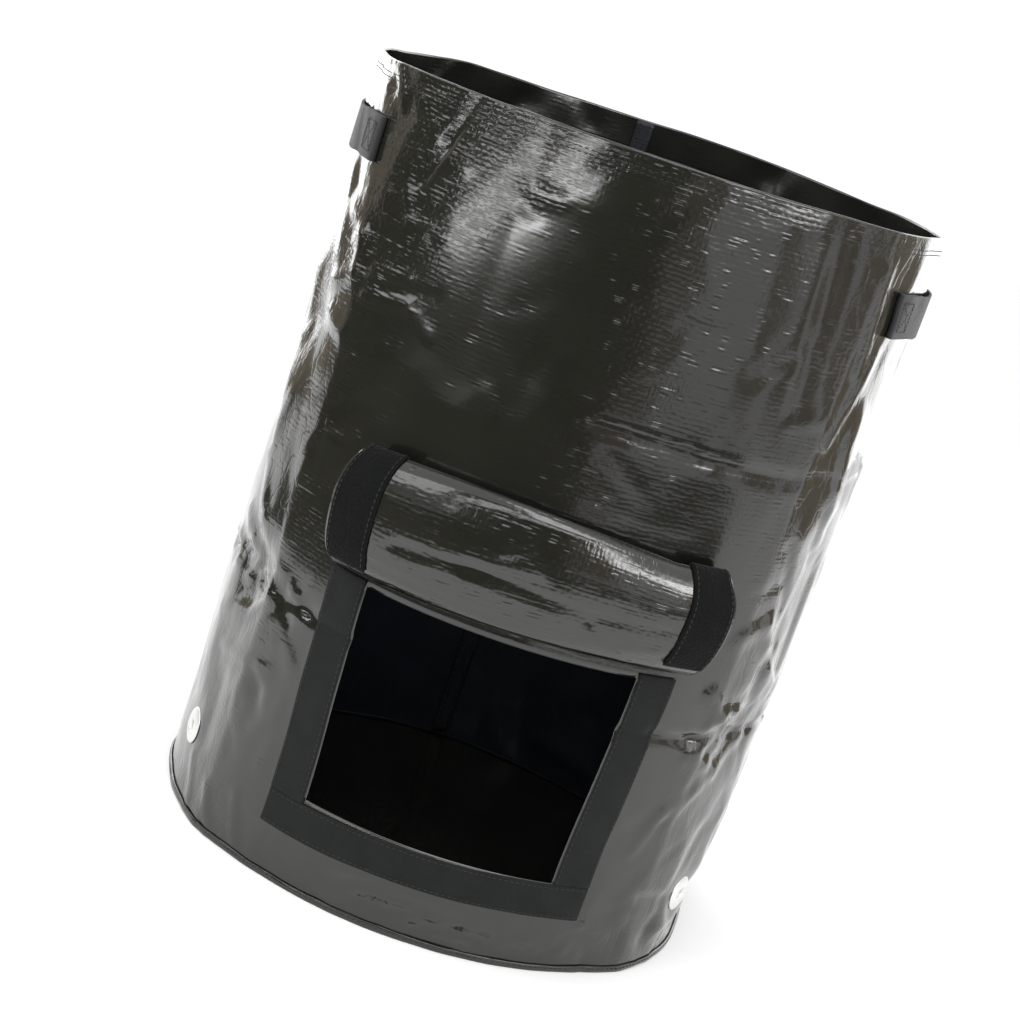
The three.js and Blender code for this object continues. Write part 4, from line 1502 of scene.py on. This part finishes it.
def arc_card(name, azimuths, radii, heights, material):
    """A curved card round the bag that shows only in what the bag mirrors"""
    across = np.linspace(*azimuths, 25)
    rows = [polar(across, radius / MM, height / MM) for radius, height in zip(radii, heights)]
    mesh = bpy.data.meshes.new(name)
    count = len(across)
    faces = [(k, k + 1, count + k + 1, count + k) for k in range(count - 1)]
    mesh.from_pydata(np.concatenate(rows).tolist(), [], faces)
    piece = bpy.data.objects.new(name, mesh)
    bpy.context.scene.collection.objects.link(piece)
    mesh.materials.append(material)
    for kind in ("camera", "diffuse", "transmission", "volume_scatter", "shadow"):
        setattr(piece, f"visible_{kind}", False)


class GROWBAG_OT_stage(bpy.types.Operator):
    """Make the floor, the lights and the camera"""

    bl_idname = "growbag.stage"
    bl_label = "Stage"

    def execute(self, context):
        stage = context.scene.grow_bag_stage
        deselect()
        bpy.ops.mesh.primitive_plane_add(size=14, location=(0, 0, 0))
        floor = context.object
        floor.name = "studio_floor"
        floor.data.materials.append(floor_paint("studio_floor", stage.floor))
        paints = {"dark": stage.card, "brown": stage.side_card, "pale": stage.floor}
        for tone, colour in paints.items():
            paint = card_paint(f"{tone}_card", colour)
            for name, card_tone, azimuths, radii, heights in CARDS:
                if card_tone == tone:
                    arc_card(name, azimuths, radii, heights, paint)
        for light in LIGHTS:
            panel(*light)
        world = bpy.data.worlds.new("studio_surround")
        context.scene.world = world
        world.use_nodes = True
        background = world.node_tree.nodes["Background"]
        background.inputs["Color"].default_value = tinted(stage.surround)
        background.inputs["Strength"].default_value = SURROUND_STRENGTH
        context.scene.view_settings.view_transform = "Standard"
        context.scene.view_settings.look = "None"
        self.add_camera(context, stage.focal_length)
        return {"FINISHED"}

    def add_camera(self, context, focal_length):
        pitch, yaw, roll = (math.radians(angle) for angle in CAMERA_TURN)
        ahead = Vector((math.sin(yaw), math.cos(yaw), 0)) * math.cos(pitch)
        ahead.z = -math.sin(pitch)
        level = Vector((math.cos(yaw), -math.sin(yaw), 0))
        above = level.cross(ahead)
        right = level * math.cos(roll) + above * math.sin(roll)
        up = above * math.cos(roll) - level * math.sin(roll)
        data = bpy.data.cameras.new("photo_camera")
        data.lens = focal_length / MM
        data.sensor_width = SENSOR_WIDTH
        camera = bpy.data.objects.new("photo_camera", data)
        context.scene.collection.objects.link(camera)
        turned = Matrix((right, up, -ahead)).transposed().to_4x4()
        camera.matrix_world = Matrix.Translation(CAMERA_PLACE) @ turned
        context.scene.camera = camera


class GROWBAG_PT_panel(bpy.types.Panel):
    """The grow bag's settings and the operators that build it"""

    bl_idname = "GROWBAG_PT_panel"
    bl_label = "Grow bag"
    bl_space_type = "VIEW_3D"
    bl_region_type = "UI"
    bl_category = "Grow bag"

    def draw(self, context):
        for group in (sizes_of(context), colours_of(context), context.scene.grow_bag_stage):
            box = self.layout.box()
            for key in group.__annotations__:
                box.prop(group, key)
        for operator in OPERATORS:
            self.layout.operator(operator.bl_idname)


OPERATORS = (
    GROWBAG_OT_stage,
    GROWBAG_OT_wall,
    GROWBAG_OT_base,
    GROWBAG_OT_seams,
    GROWBAG_OT_window_tapes,
    GROWBAG_OT_flap,
    GROWBAG_OT_handles,
    GROWBAG_OT_eyelets,
)
GROUPS = {
    "grow_bag_sizes": GrowBagSizes,
    "grow_bag_colours": GrowBagColours,
    "grow_bag_stage": GrowBagStage,
}


def register():
    for kind in (*GROUPS.values(), *OPERATORS, GROWBAG_PT_panel):
        bpy.utils.register_class(kind)
    for key, group in GROUPS.items():
        setattr(bpy.types.Scene, key, PointerProperty(type=group))


def unregister():
    for key in GROUPS:
        delattr(bpy.types.Scene, key)
    for kind in reversed((*GROUPS.values(), *OPERATORS, GROWBAG_PT_panel)):
        bpy.utils.unregister_class(kind)


def main():
    register()
    bpy.ops.growbag.stage()
    bpy.ops.growbag.wall()
    bpy.ops.growbag.base()
    bpy.ops.growbag.seams()
    bpy.ops.growbag.window_tapes()
    bpy.ops.growbag.flap()
    bpy.ops.growbag.handles()
    bpy.ops.growbag.eyelets()


if __name__ == "__main__":
    main()
